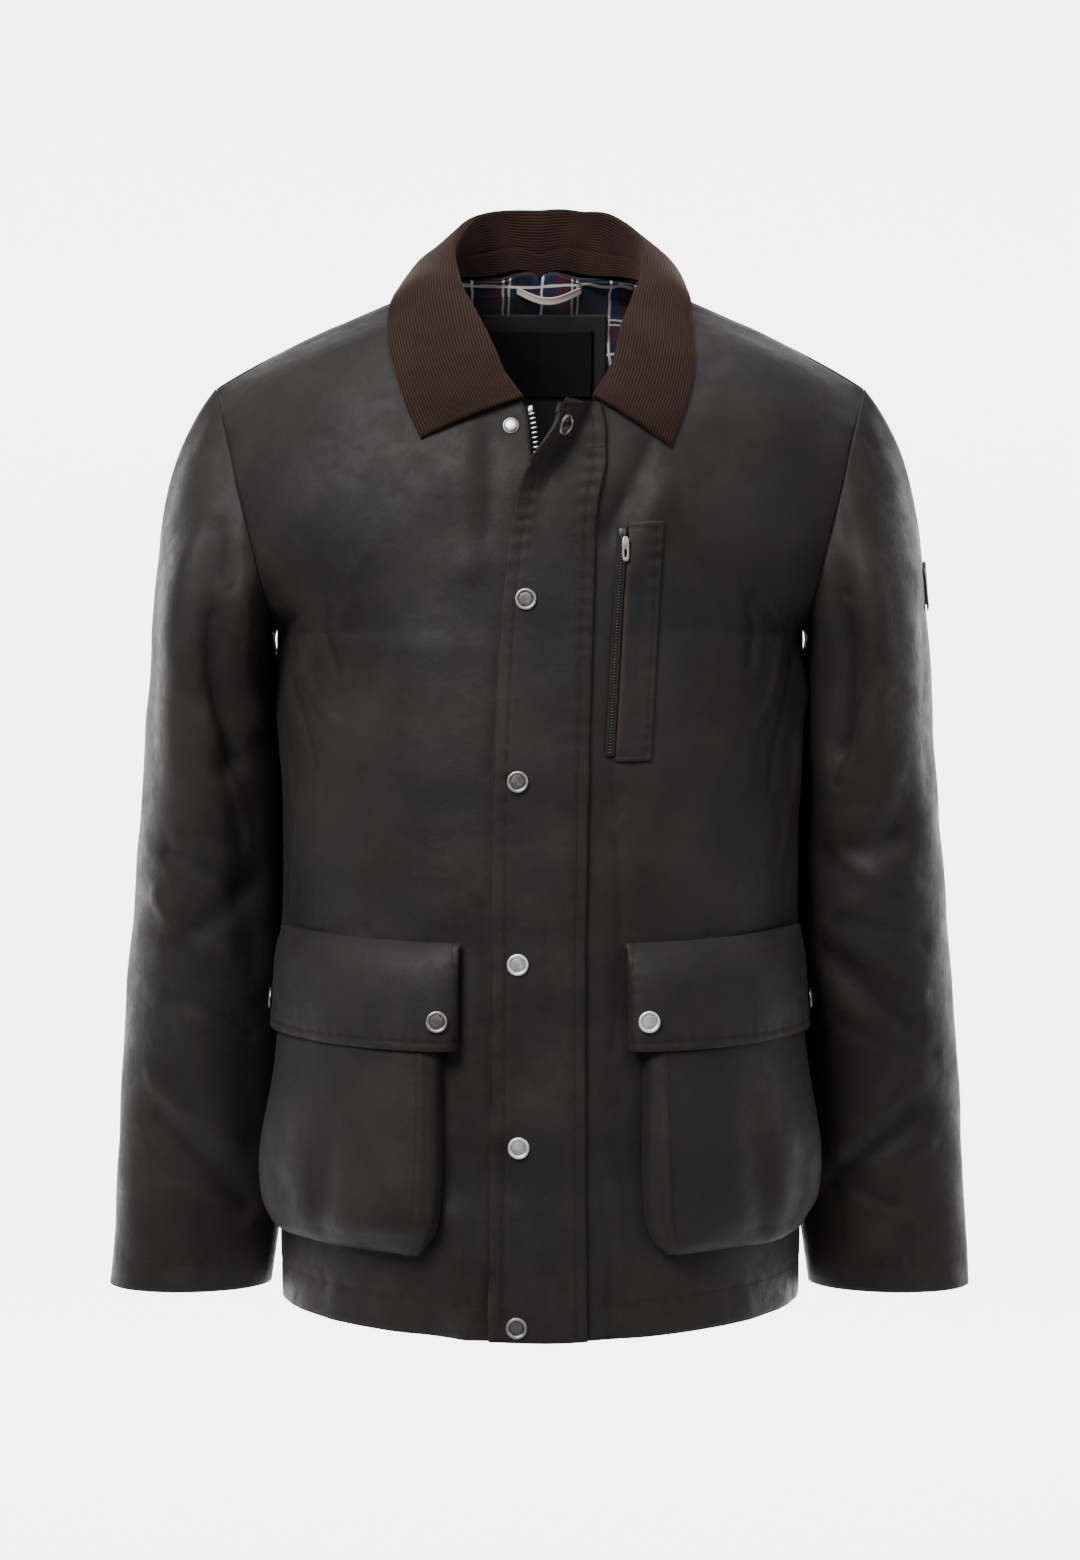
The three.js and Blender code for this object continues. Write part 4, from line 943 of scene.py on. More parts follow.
@dataclass(frozen=True)
class Corduroy(Finish):
    """Brown corduroy: light wale tops, furrows darkened by painted shade, and a pile that catches the light.
    """

    # Painted shade: the furrow colour stands for the shade in the grooves between the wales.
    furrow: Colour = (0.0050, 0.0024, 0.0020)
    wale: Colour = (0.0230, 0.0108, 0.0082)
    rubbed: Colour = (0.0400, 0.0200, 0.0155)

    def dress(self, graph: Graph, shader: bpy.types.Node) -> None:
        """Base colour from the wale attribute, with painted shade in the furrows, broken up by cloth noise;
        bump from fine pile.
        """
        place = graph.node("ShaderNodeTexCoord").outputs["Object"]
        wale = graph.node("ShaderNodeAttribute", attribute_name="wale").outputs["Fac"]
        masks = MOTTLE.place(graph, {"Place": place, "Scale": 26.0})
        tone = graph.ramp(wale, 0.1, 0.95)
        # Painted shade: the colour falls to the furrow's dark where the wale profile dips.
        colour = graph.blend(tone, self.furrow, self.wale)
        rub = graph.maths("MULTIPLY", masks.outputs["Cloud"], graph.maths("MULTIPLY", tone, 0.45))
        colour = graph.blend(rub, colour, self.rubbed)
        graph.tree.links.new(colour, shader.inputs["Base Color"])
        pile = graph.noise(place, 1500.0, 3.0, 0.7)
        bump = graph.node("ShaderNodeBump", {"Strength": 0.5, "Distance": 0.0004, "Height": pile})
        graph.tree.links.new(bump.outputs[0], shader.inputs["Normal"])
        shader.inputs["Sheen Tint"].default_value = (0.55, 0.36, 0.28, 1)
        self.set(shader, Roughness=0.9, Specular_IOR_Level=0.12, Sheen_Weight=0.12, Sheen_Roughness=0.45)


@dataclass(frozen=True)
class CheckLining(Finish):
    """A soft woven check in navy, wine and black with white and cream lines."""

    navy: Colour = (0.0110, 0.0150, 0.0400)
    wine: Colour = (0.0620, 0.0105, 0.0105)
    black: Colour = (0.0060, 0.0060, 0.0080)
    white: Colour = (0.6200, 0.6000, 0.5800)
    cream: Colour = (0.5200, 0.4900, 0.4200)
    repeat: float = 0.050

    def bars(self, graph: Graph, along: object) -> dict[str, bpy.types.NodeSocket]:
        """The masks of one direction: a wine bar, a black bar, a white line and two cream lines."""
        sizes = {
            "wine": (0.34, 0.30),
            "black": (0.74, 0.26),
            "white": (0.02, 0.034),
            "cream": (0.46, 0.030),
            "second": (0.54, 0.030),
        }
        masks = {}
        for key, (middle, width) in sizes.items():
            inputs = {"Middle": middle * self.repeat, "Width": width * self.repeat}
            line = LINE.place(graph, {"Along": along, "Repeat": self.repeat, **inputs})
            masks[key] = line.outputs["Mask"]
        return masks

    def dress(self, graph: Graph, shader: bpy.types.Node) -> None:
        """Each direction lays its bars at half strength, so that crossings come out full."""
        uv = graph.node("ShaderNodeUVMap", uv_map="cloth").outputs["UV"]
        place = graph.node("ShaderNodeTexCoord").outputs["Object"]
        drift = graph.node("ShaderNodeTexNoise", {"Vector": place, "Scale": 28.0, "Detail": 2.0})
        centred = {0: drift.outputs["Color"], 1: (0.5,) * 3}
        drift = graph.node("ShaderNodeVectorMath", centred, operation="SUBTRACT")
        drift = graph.node("ShaderNodeVectorMath", {0: drift.outputs[0], "Scale": 0.009}, operation="SCALE")
        wavy = graph.node("ShaderNodeVectorMath", {0: place, 1: drift.outputs[0]}, operation="ADD")
        split = graph.node("ShaderNodeSeparateXYZ", {0: wavy.outputs[0]})
        colour: object = self.navy
        for along in (split.outputs["X"], split.outputs["Z"]):
            masks = self.bars(graph, along)
            for key, tint, share in (
                ("wine", self.wine, 0.55),
                ("black", self.black, 0.6),
                ("cream", self.cream, 0.6),
                ("second", self.cream, 0.6),
                ("white", self.white, 0.75),
            ):
                colour = graph.blend(graph.maths("MULTIPLY", masks[key], share), colour, tint)
        graph.tree.links.new(colour, shader.inputs["Base Color"])
        weave = WEAVE.place(graph, {"Place": uv, "Thread": 0.0008}).outputs["Height"]
        bump = graph.node("ShaderNodeBump", {"Strength": 0.3, "Distance": 0.0003, "Height": weave})
        graph.tree.links.new(bump.outputs[0], shader.inputs["Normal"])
        self.set(shader, Roughness=0.86, Specular_IOR_Level=0.25)


@dataclass(frozen=True)
class PlainWeave(Finish):
    """One coloured woven cloth, such as zip tape, facing, label or loop."""

    colour: Colour = (0.0100, 0.0100, 0.0105)
    lift: float = 1.5
    thread: float = 0.0010
    rough: float = 0.8

    def dress(self, graph: Graph, shader: bpy.types.Node) -> None:
        """Base colour varies by the weave and a fleck; bump from the weave."""
        place = graph.node("ShaderNodeTexCoord").outputs["Object"]
        uv = graph.node("ShaderNodeUVMap", uv_map="cloth").outputs["UV"]
        weave = WEAVE.place(graph, {"Place": uv, "Thread": self.thread}).outputs["Height"]
        fleck = MOTTLE.place(graph, {"Place": place, "Scale": 40.0}).outputs["Fleck"]
        factor = graph.maths("MULTIPLY", graph.maths("ADD", weave, fleck), 0.5, clamp=True)
        light = tuple(min(1.0, self.lift * c) for c in self.colour)
        graph.tree.links.new(graph.blend(factor, self.colour, light), shader.inputs["Base Color"])
        bump = graph.node("ShaderNodeBump", {"Strength": 0.4, "Distance": 0.0004, "Height": weave})
        graph.tree.links.new(bump.outputs[0], shader.inputs["Normal"])
        self.set(shader, Roughness=self.rough, Specular_IOR_Level=0.15)


@dataclass(frozen=True)
class AntiqueMetal(Finish):
    """Nickel or silver with dark patina left in its recesses and a fine rub on its rims."""

    bright: Colour = (0.5600, 0.5400, 0.5100)
    patina: Colour = (0.0900, 0.0820, 0.0740)
    rough: float = 0.30

    def dress(self, graph: Graph, shader: bpy.types.Node) -> None:
        """Colour goes to patina by the recess attribute and a fleck; roughness follows the fleck."""
        place = graph.node("ShaderNodeTexCoord").outputs["Object"]
        recess = graph.node("ShaderNodeAttribute", attribute_name="recess").outputs["Fac"]
        masks = MOTTLE.place(graph, {"Place": place, "Scale": 210.0})
        dull = graph.maths("MULTIPLY", masks.outputs["Fleck"], 0.22)
        factor = graph.maths("ADD", graph.maths("MULTIPLY", recess, 0.8), dull, clamp=True)
        graph.tree.links.new(graph.blend(factor, self.bright, self.patina), shader.inputs["Base Color"])
        rough = graph.maths("MULTIPLY", masks.outputs["Cloud"], 0.16)
        graph.tree.links.new(graph.maths("ADD", rough, self.rough), shader.inputs["Roughness"])
        brushed = graph.noise(place, 900.0, 2.0, 0.5)
        bump = graph.node("ShaderNodeBump", {"Strength": 0.12, "Distance": 0.0002, "Height": brushed})
        graph.tree.links.new(bump.outputs[0], shader.inputs["Normal"])
        self.set(shader, Metallic=1.0)


@dataclass(frozen=True)
class PaleStage(Finish):
    """A plain pale paper sweep."""

    colour: Colour = (0.84, 0.84, 0.84)
    glow: float = 3.9

    def dress(self, graph: Graph, shader: bpy.types.Node) -> None:
        """One even colour; light of its own grows with the distance behind the jacket."""
        shader.inputs["Base Color"].default_value = (*self.colour, 1)
        shader.inputs["Emission Color"].default_value = (1, 1, 1, 1)
        place = graph.node("ShaderNodeTexCoord").outputs["Object"]
        behind = graph.node("ShaderNodeSeparateXYZ", {0: place}).outputs["Y"]
        glow = graph.maths("MULTIPLY", graph.ramp(behind, 0.6, 2.2), self.glow)
        graph.tree.links.new(glow, shader.inputs["Emission Strength"])
        self.set(shader, Roughness=0.95, Specular_IOR_Level=0.0)


WAXED = WaxedCotton("waxed_cotton")
CORDUROY = Corduroy("brown_corduroy")
CHECK = CheckLining("check_lining")
SLEEVE_LINING = PlainWeave("sleeve_lining", (0.0100, 0.0100, 0.0120), 1.6, 0.0006, 0.5)
TAPE = PlainWeave("zip_tape", (0.0100, 0.0095, 0.0090), 1.7, 0.0013, 0.85)
FACING = PlainWeave("black_facing", (0.0022, 0.0022, 0.0024), 1.5, 0.0009, 0.85)
SATIN = PlainWeave("label_satin", (0.0048, 0.0048, 0.0052), 1.3, 0.0005, 0.6)
WEBBING = PlainWeave("loop_webbing", (0.3000, 0.2250, 0.2150), 1.35, 0.0014, 0.8)
THREAD = PlainWeave("sewing_thread", (0.0190, 0.0125, 0.0100), 1.6, 0.0008, 0.7)
LABEL_THREAD = PlainWeave("label_thread", (0.0110, 0.0110, 0.0120), 1.6, 0.0008, 0.6)
NICKEL = AntiqueMetal("antique_nickel", (0.4200, 0.4100, 0.4000), (0.0450, 0.0430, 0.0420), 0.34)
# Painted highlight: a brighter copy of the antique nickel, for the snaps that catch the light.
HIGHLIGHT_NICKEL = AntiqueMetal("painted_highlight_nickel", (0.9000, 0.9000, 0.9000), (0.3200, 0.3100, 0.3000), 0.42)
SILVER = AntiqueMetal("antique_silver", (0.6600, 0.6500, 0.6300), (0.1300, 0.1200, 0.1100), 0.26)
GUNMETAL = AntiqueMetal("gunmetal", (0.0700, 0.0660, 0.0620), (0.0160, 0.0150, 0.0140), 0.38)


def publish(
    obj: bpy.types.Object,
    finishes: Sequence[Finish],
    nodes: Sequence[str] = (),
    body: str = JACKET,
) -> bpy.types.Object:
    """Dresses a piece, sets the body it rides on and hides the frame's nodes that it stands for.

    Args:
        obj: the piece.
        finishes: one finish for each material index.
        nodes: the frame's nodes that it replaces.
        body: the body it rides on.

    Returns:
        The piece.
    """
    for finish in finishes:
        obj.data.materials.append(finish.material())
    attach(obj, body)
    if nodes:
        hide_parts(*nodes)
    LOG.info("%s: %d faces", obj.name, len(obj.data.polygons))
    return obj


def cloth(
    walls: Sequence[Wall],
    name: str,
    finishes: Sequence[Finish],
    marks: dict[str, Array] | Callable[[Wall], dict[str, Array]] | None = None,
    joined_rows: int = 0,
) -> bpy.types.Object:
    """Builds walls as one sheet of cloth that stands for the node of its name.

    Args:
        walls: one wall, or two that join along the first steps of their first columns.
        name: the piece's name.
        finishes: finishes of the outer and inner faces.
        marks: extra point values, or what gives them for a wall.
        joined_rows: how many steps of the first columns are joined.

    Returns:
        The piece.
    """
    if joined_rows:
        for layer in ("outer", "inner"):
            edges = [getattr(wall, layer)[: joined_rows + 1, 0] for wall in walls]
            middle = (edges[0] + edges[1]) / 2
            for edge in edges:
                edge[:] = middle
    parts = [wall.arrays(marks(wall) if callable(marks) else marks, joined_rows) for wall in walls]
    made = parts[0] if len(parts) == 1 else welded(parts)
    obj = publish(make_mesh(name, **made), finishes, (name,))
    cuts = [wall.cut() for wall in walls]
    return obj


@dataclass(frozen=True)
class Stitching:
    """Rows of lockstitches: each stitch is a small spindle laid on the cloth."""

    pitch: float = 3.1
    length: float = 2.3
    width: float = 0.62
    height: float = 0.42

    def along(self, points: Array, normals: Array) -> Array:
        """Spindles along a line, at even steps of its length.

        A spindle's rings are circles whose radius follows sin to the power 0.6 along it.

        Args:
            points: places on the cloth, in order.
            normals: ways out at the places.

        Returns:
            Grids of shape (stitches, 5, 6, 3).
        """
        travelled = travelled_along(points)
        middles = np.arange(self.pitch / 2, travelled[-1] - self.pitch / 2, self.pitch)
        centre = read_line(middles, travelled, points)[:, None, None]
        out = unit(read_line(middles, travelled, normals))
        ahead, behind = (read_line(middles + step, travelled, points) for step in (0.4, -0.4))
        forward = unit(ahead - behind)
        side = np.cross(forward, out)[:, None, None]
        f = np.linspace(-1, 1, 5)
        ring = np.clip(np.cos(f * math.pi / 2), 0.05, 1) ** 0.6
        turn = np.arange(6) * math.pi / 3
        run = centre + forward[:, None, None] * (f * self.length / 2)[None, :, None, None]
        wide = (ring[:, None] * np.cos(turn) * self.width / 2)[None, :, :, None]
        high = (ring[:, None] * np.sin(turn) * self.height / 2)[None, :, :, None]
        return run + side * wide + out[:, None, None] * (high + self.height * 0.3)

    def piece(
        self, name: str, lines: Sequence[tuple[Array, Array]], finish: Finish = THREAD
    ) -> None:
        """All the lines' stitches as one piece.

        Args:
            name: the piece's name.
            lines: points and normals of each line.
            finish: the thread.
        """
        grids = np.concatenate([self.along(*line) for line in lines])
        points, faces = join_grids(grids)
        publish(make_mesh(name, points, faces), (finish,))


STITCH = Stitching()


def raised(places: tuple[Array, Array], lift: Array) -> tuple[Array, Array]:
    """Places moved out along their ways out by a lift."""
    point, normal = places
    return point + normal * np.broadcast_to(lift, point.shape[:-1])[..., None], normal


def pucker(distance: Array, along: Array, seed: int, size: float = 0.45) -> Array:
    """Puckers beside a sewn line: waves of about 11 mm along it, fading over 6 mm, and a dip on it."""
    wave = np.sin(along * 2 * math.pi / 11 + 2.2 * ripple(along, along * 0, 60, seed))
    near = bell(distance / 6)
    uneven = 0.6 + 0.4 * ripple(along, along * 0, 90, seed + 1)
    return size * near * wave * uneven - 0.35 * bell(distance / 1.6)


def hemmed(height: Array) -> Array:
    """The wall's thickness at a height above the hem: one layer more below the hem's depth."""
    return CLOTH + HEM_EXTRA * smooth((HEM_DEPTH - height) / 6 + 0.5)


@dataclass
class BodyPanels:
    """The two fronts and the back, with their hem stitching."""

    low_parts: int = 24
    high_parts: int = 7
    columns: int = 84
    row_height: float = 100.0
    seam_top: tuple[float, float] = (146.0, -23.0)
    seam_foot: tuple[float, float] = (213.0, -62.0)

    def stops(self, rows: Rows) -> Array:
        """Row positions of the grid: more for each row below the underarm, where the rows are far apart."""
        parts = [self.low_parts if i < UNDERARM_ROW else self.high_parts for i in range(rows.last)]
        pieces = [np.linspace(i, i + 1, n, endpoint=False) for i, n in enumerate(parts)]
        return np.concatenate([*pieces, [rows.last]])

    def places(self, panel: Panel, s: Array, t: Array) -> tuple[Array, Array]:
        """The panel's places, with puckers at its hem stitch and round its armhole."""
        points, normals = panel.place(s, t)
        girth = panel.hand.value * points[..., 0] + panel.face.value * 400
        hem = pucker((t - 0.25) * self.row_height, girth, 21, 0.3)
        side = pucker((1 - s) * 290, points[..., 2], 33, 0.35) * smooth(t * 3) * smooth((1 - s) * 40)
        relief = hem * smooth((s + 0.001) * 30) + side
        if panel.face is Face.FRONT:
            relief = relief + self.shoulder(points)
        return raised((points, normals), relief)

    def shoulder(self, points: Array) -> Array:
        """The shoulder seam: a step of 0.8 mm across a straight line and a dip of 0.7 mm on it.

        Args:
            points: places on a front.

        Returns:
            The height to add at each.
        """
        run = np.subtract(self.seam_foot, self.seam_top)
        run = run / np.hypot(*run)
        x, z = np.abs(points[..., 0]) - self.seam_top[0], points[..., 2] - self.seam_top[1]
        side = x * -run[1] + z * run[0]
        along = smooth((x * run[0] + z * run[1] + 8) / 12)
        return along * (0.8 * smooth(0.5 - side / 1.6) - 0.4 - 0.7 * bell(side / 1.3))

    def wall(self, panel: Panel) -> Wall:
        """The panel's wall, its edge drawn back at the side and shoulder seams.

        Args:
            panel: the half panel.

        Returns:
            The wall on the grid of the stops and columns.
        """
        t = self.stops(panel.rows)[:, None]
        s = np.linspace(0, 1, self.columns)[None]
        s, t = np.broadcast_arrays(s, t)
        wall = Wall.laid(self.places(panel, s, t), 0.0, hemmed(t * self.row_height))
        seam = (t == panel.rows.last) | ((s == 1) & (t <= UNDERARM_ROW))
        face = panel.face.value
        kept = np.maximum(wall.inner[..., 1] * face, wall.outer[..., 1] * face) * face
        wall.inner[..., 1] = np.where(seam, kept + face * SEAM / 2, wall.inner[..., 1])
        wall.outer[..., 1] = np.where(seam, wall.outer[..., 1] + face * SEAM / 2, wall.outer[..., 1])
        return wall

    def hem_line(self, panel: Panel, start: float, end: float) -> tuple[Array, Array]:
        """The line of the hem stitch on a panel."""
        s = np.linspace(start, end, 260)
        return self.places(panel, s, np.full_like(s, 0.25))

    def build(self) -> None:
        """Makes the fronts, the back in one piece, and the hem stitches."""
        for hand, panel in FRONTS.items():
            cloth([self.wall(panel)], f"front_{hand.word}", (WAXED, CHECK), marks=self.worn)
        halves = [self.wall(panel) for panel in BACKS.values()]
        joined = int(np.sum(self.stops(BACK_ROWS) <= NECK_ROW)) - 1
        cloth(halves, "back", (WAXED, CHECK), marks=self.worn, joined_rows=joined)
        lines = [self.hem_line(FRONTS[Hand.RIGHT], 0.02, 0.99), self.hem_line(FRONTS[Hand.LEFT], 0.1, 0.99)]
        lines += [self.hem_line(panel, 0.0, 0.99) for panel in BACKS.values()]
        STITCH.piece("hem_stitching", lines)
        f = np.linspace(0.02, 0.97, 120)
        x, z = (lerp(a, b, f) for a, b in zip(self.seam_top, self.seam_foot))
        seams = [panel.over(hand.value * x, z - 3.5) for hand, panel in FRONTS.items()]
        STITCH.piece("shoulder_stitching", seams)

    @staticmethod
    def worn(wall: Wall) -> dict[str, Array]:
        """Rub along the hem: full at the edge, fading over 3.5 mm."""
        _, v = wall.arcs()
        return {"worn": bell(v[:, : wall.outer.shape[1]] / 3.5)}


@dataclass
class Sleeve:
    """One sleeve: rings from the biceps to the cuff, and a cap from the armhole to the first ring."""

    hand: Hand
    rings: int = 168
    columns: int = 124
    cap_rows: float = 1.6
    row_height: float = 90.0
    flat_inner: float = 18.0
    press: float = 3.6
    press_z: float = -325.0

    rows: Rows = Rows("outX inX midY halfDepth outZ inZ", [
        (279, 188.2, 14, 84, -268, -286),
        (285, 184.9, 22, 79, -345, -355),
        (293, 183, 24, 70, -440, -445),
        (302, 184.5, 24, 58, -550, -552),
        (308, 186, 24, 49, -645, -645),
        (312, 195, 20, 43, -719, -717),
    ])

    @property
    def end(self) -> float:
        """The row position of the cuff's edge."""
        return self.cap_rows + self.rows.last

    @staticmethod
    def armhole(degrees: Array) -> Array:
        """The armhole's edge: the front's by d over 180 of its length, the back's by (360 - d) over 180."""
        d = np.mod(degrees, 360)
        made = []
        for panel, share in ((FRONTS[Hand.LEFT], d / 180), (BACKS[Hand.LEFT], (360 - d) / 180)):
            t = np.linspace(panel.rows.last, UNDERARM_ROW, 41)
            line = panel.plain(np.ones_like(t), t)
            travelled = travelled_along(line)
            made.append(read_line(np.clip(share, 0, 1) * travelled[-1], travelled, line))
        return np.where((d <= 180)[..., None], made[0], made[1])

    def ring(self, degrees: Array, t: Array) -> Array:
        """A ring's ellipse: x by (1 + cos) / 2 between its sides, y by -sin times half its depth."""
        r = self.rows.at(t)
        c, s = np.cos(np.radians(degrees)), np.sin(np.radians(degrees))
        z = lerp(r["outZ"], r["inZ"], (1 - c) / 2)
        return np.stack([lerp(r["inX"], r["outX"], (1 + c) / 2), r["midY"] - s * r["halfDepth"], z], -1)

    def plain(self, degrees: Array, t: Array) -> Array:
        """Points without folds: above the biceps a Hermite curve from the armhole to the first ring.

        With f from 0 to 1 it is start (2f3 - 3f2 + 1) + out (f3 - 2f2 + f) + end (3f2 - 2f3) + in (f3 - f2),
        where f2 and f3 are the square and cube of f.
        """
        degrees, t = spread(degrees, t)
        low = self.ring(degrees, np.maximum(t - self.cap_rows, 0))
        f = np.clip(t / self.cap_rows, 0, 1)[..., None]
        start = self.armhole(degrees) + np.array([SEAM + 0.1, 0, 0])
        end = self.ring(degrees, np.zeros_like(t))
        span = np.linalg.norm(end - start, axis=-1, keepdims=True)
        under = (1 - np.cos(np.radians(degrees))) / 2
        heading = [lerp(0.62, 0.3, under), -0.42 * np.sin(np.radians(degrees)), lerp(-0.78, -0.9, under)]
        pull_out = unit(np.stack(heading, -1)) * span * 1.05
        pull_in = unit(self.ring(degrees, np.full_like(t, 0.01)) - end) * span * 1.1
        cap = start * (2 * f**3 - 3 * f**2 + 1) + pull_out * (f**3 - 2 * f**2 + f)
        cap = cap + end * (3 * f**2 - 2 * f**3) + pull_in * (f**3 - f**2)
        return np.where((t >= self.cap_rows)[..., None], low, cap)

    def place(self, degrees: Array, t: Array, fine: bool = True) -> tuple[Array, Array]:
        """Points and ways out with the folds, which fade at the armhole and beside the body.

        Below the underarm the inner line leans on the body by press times two bell curves.

        Args:
            degrees: 0 at the outer line, 90 the front, 180 the inner line, 270 the back.
            t: 0 at the armhole, up to the end at the cuff.
            fine: whether the fine creases are laid on as well.

        Returns:
            The points and the unit normals.
        """
        degrees, t = spread(degrees, t)
        around = self.plain(degrees + 0.5, t) - self.plain(degrees - 0.5, t)
        down = self.plain(degrees, t + 0.01) - self.plain(degrees, np.maximum(t - 0.01, 0))
        normal = unit(np.cross(around, down))
        point = self.plain(degrees, t)
        z = point[..., 2]
        fold = fold_height(SLEEVE_FOLDS[self.hand], degrees, z, SLEEVE_PER_DEGREE)
        if fine:
            fold = fold + fold_height(SLEEVE_CREASES[self.hand], degrees, z, SLEEVE_PER_DEGREE)
            wrap = np.sin(np.radians(degrees)) * 70
            fold = fold + 0.55 * ripple(wrap, z, 80, 41 + self.hand.value) + 0.18 * ripple(wrap, z, 30, 47)
            fold = fold + pucker((self.end - t) * self.row_height - 28, degrees * 1.0, 51, 0.3)
        free = smooth((np.abs(degrees - 180) - self.flat_inner) / 30)
        point = point + normal * (fold * smooth(t * 1.6) * free)[..., None]
        if fine:
            wave = np.sin(degrees / 4.2 + ripple(degrees, t * 0, 50, 3))
            gather = 0.5 * bell((t - 0.12) / 0.1) * wave
            point = point + normal * (gather * smooth(t * 20) * free)[..., None]
        lean = self.press * np.exp(-(((z - self.press_z) / 110) ** 2) - ((degrees - 180) / 28) ** 2)
        point = point + normal * (lean * smooth(t * 1.6))[..., None]
        mirror = np.array([self.hand.value, 1, 1])
        return point * mirror, normal * mirror

    def build(self) -> None:
        """Makes the sleeve and its cuff stitches."""
        t = np.linspace(0, 1, self.rings)[:, None] ** 1.08 * self.end
        degrees = np.arange(self.columns)[None] * 360 / self.columns
        thick = hemmed((self.end - t) * self.row_height) + degrees * 0
        wall = Wall.laid(self.place(degrees, t), 0.0, thick, tube=True)
        away = self.hand.value * (wall.inner[0, :, 0] - wall.outer[0, :, 0]) < 0
        wall.inner[0, :, 0] = np.where(away, wall.outer[0, :, 0], wall.inner[0, :, 0])
        name = f"sleeve_{self.hand.word}"
        cloth([wall], name, (WAXED, SLEEVE_LINING), marks=self.worn)
        ring = np.linspace(0, 360, 300)
        line = self.place(ring, np.full_like(ring, self.end - 28 / self.row_height))
        STITCH.piece(f"{name}_stitching", [line])

    @staticmethod
    def worn(wall: Wall) -> dict[str, Array]:
        """Rub at the cuff's edge, fading over 3.5 mm."""
        _, v = wall.arcs()
        v = v[:, :-1]
        return {"worn": bell((v[-1:] - v) / 3.5)}


def plain_front(hand: Hand) -> Panel:
    """The front of a hand without its fine creases."""
    return Panel(FRONT_ROWS, Face.FRONT, hand, fine=False)


def plain_back(hand: Hand) -> Panel:
    """The back half of a hand without its fine creases."""
    return Panel(BACK_ROWS, Face.BACK, hand, fine=False)


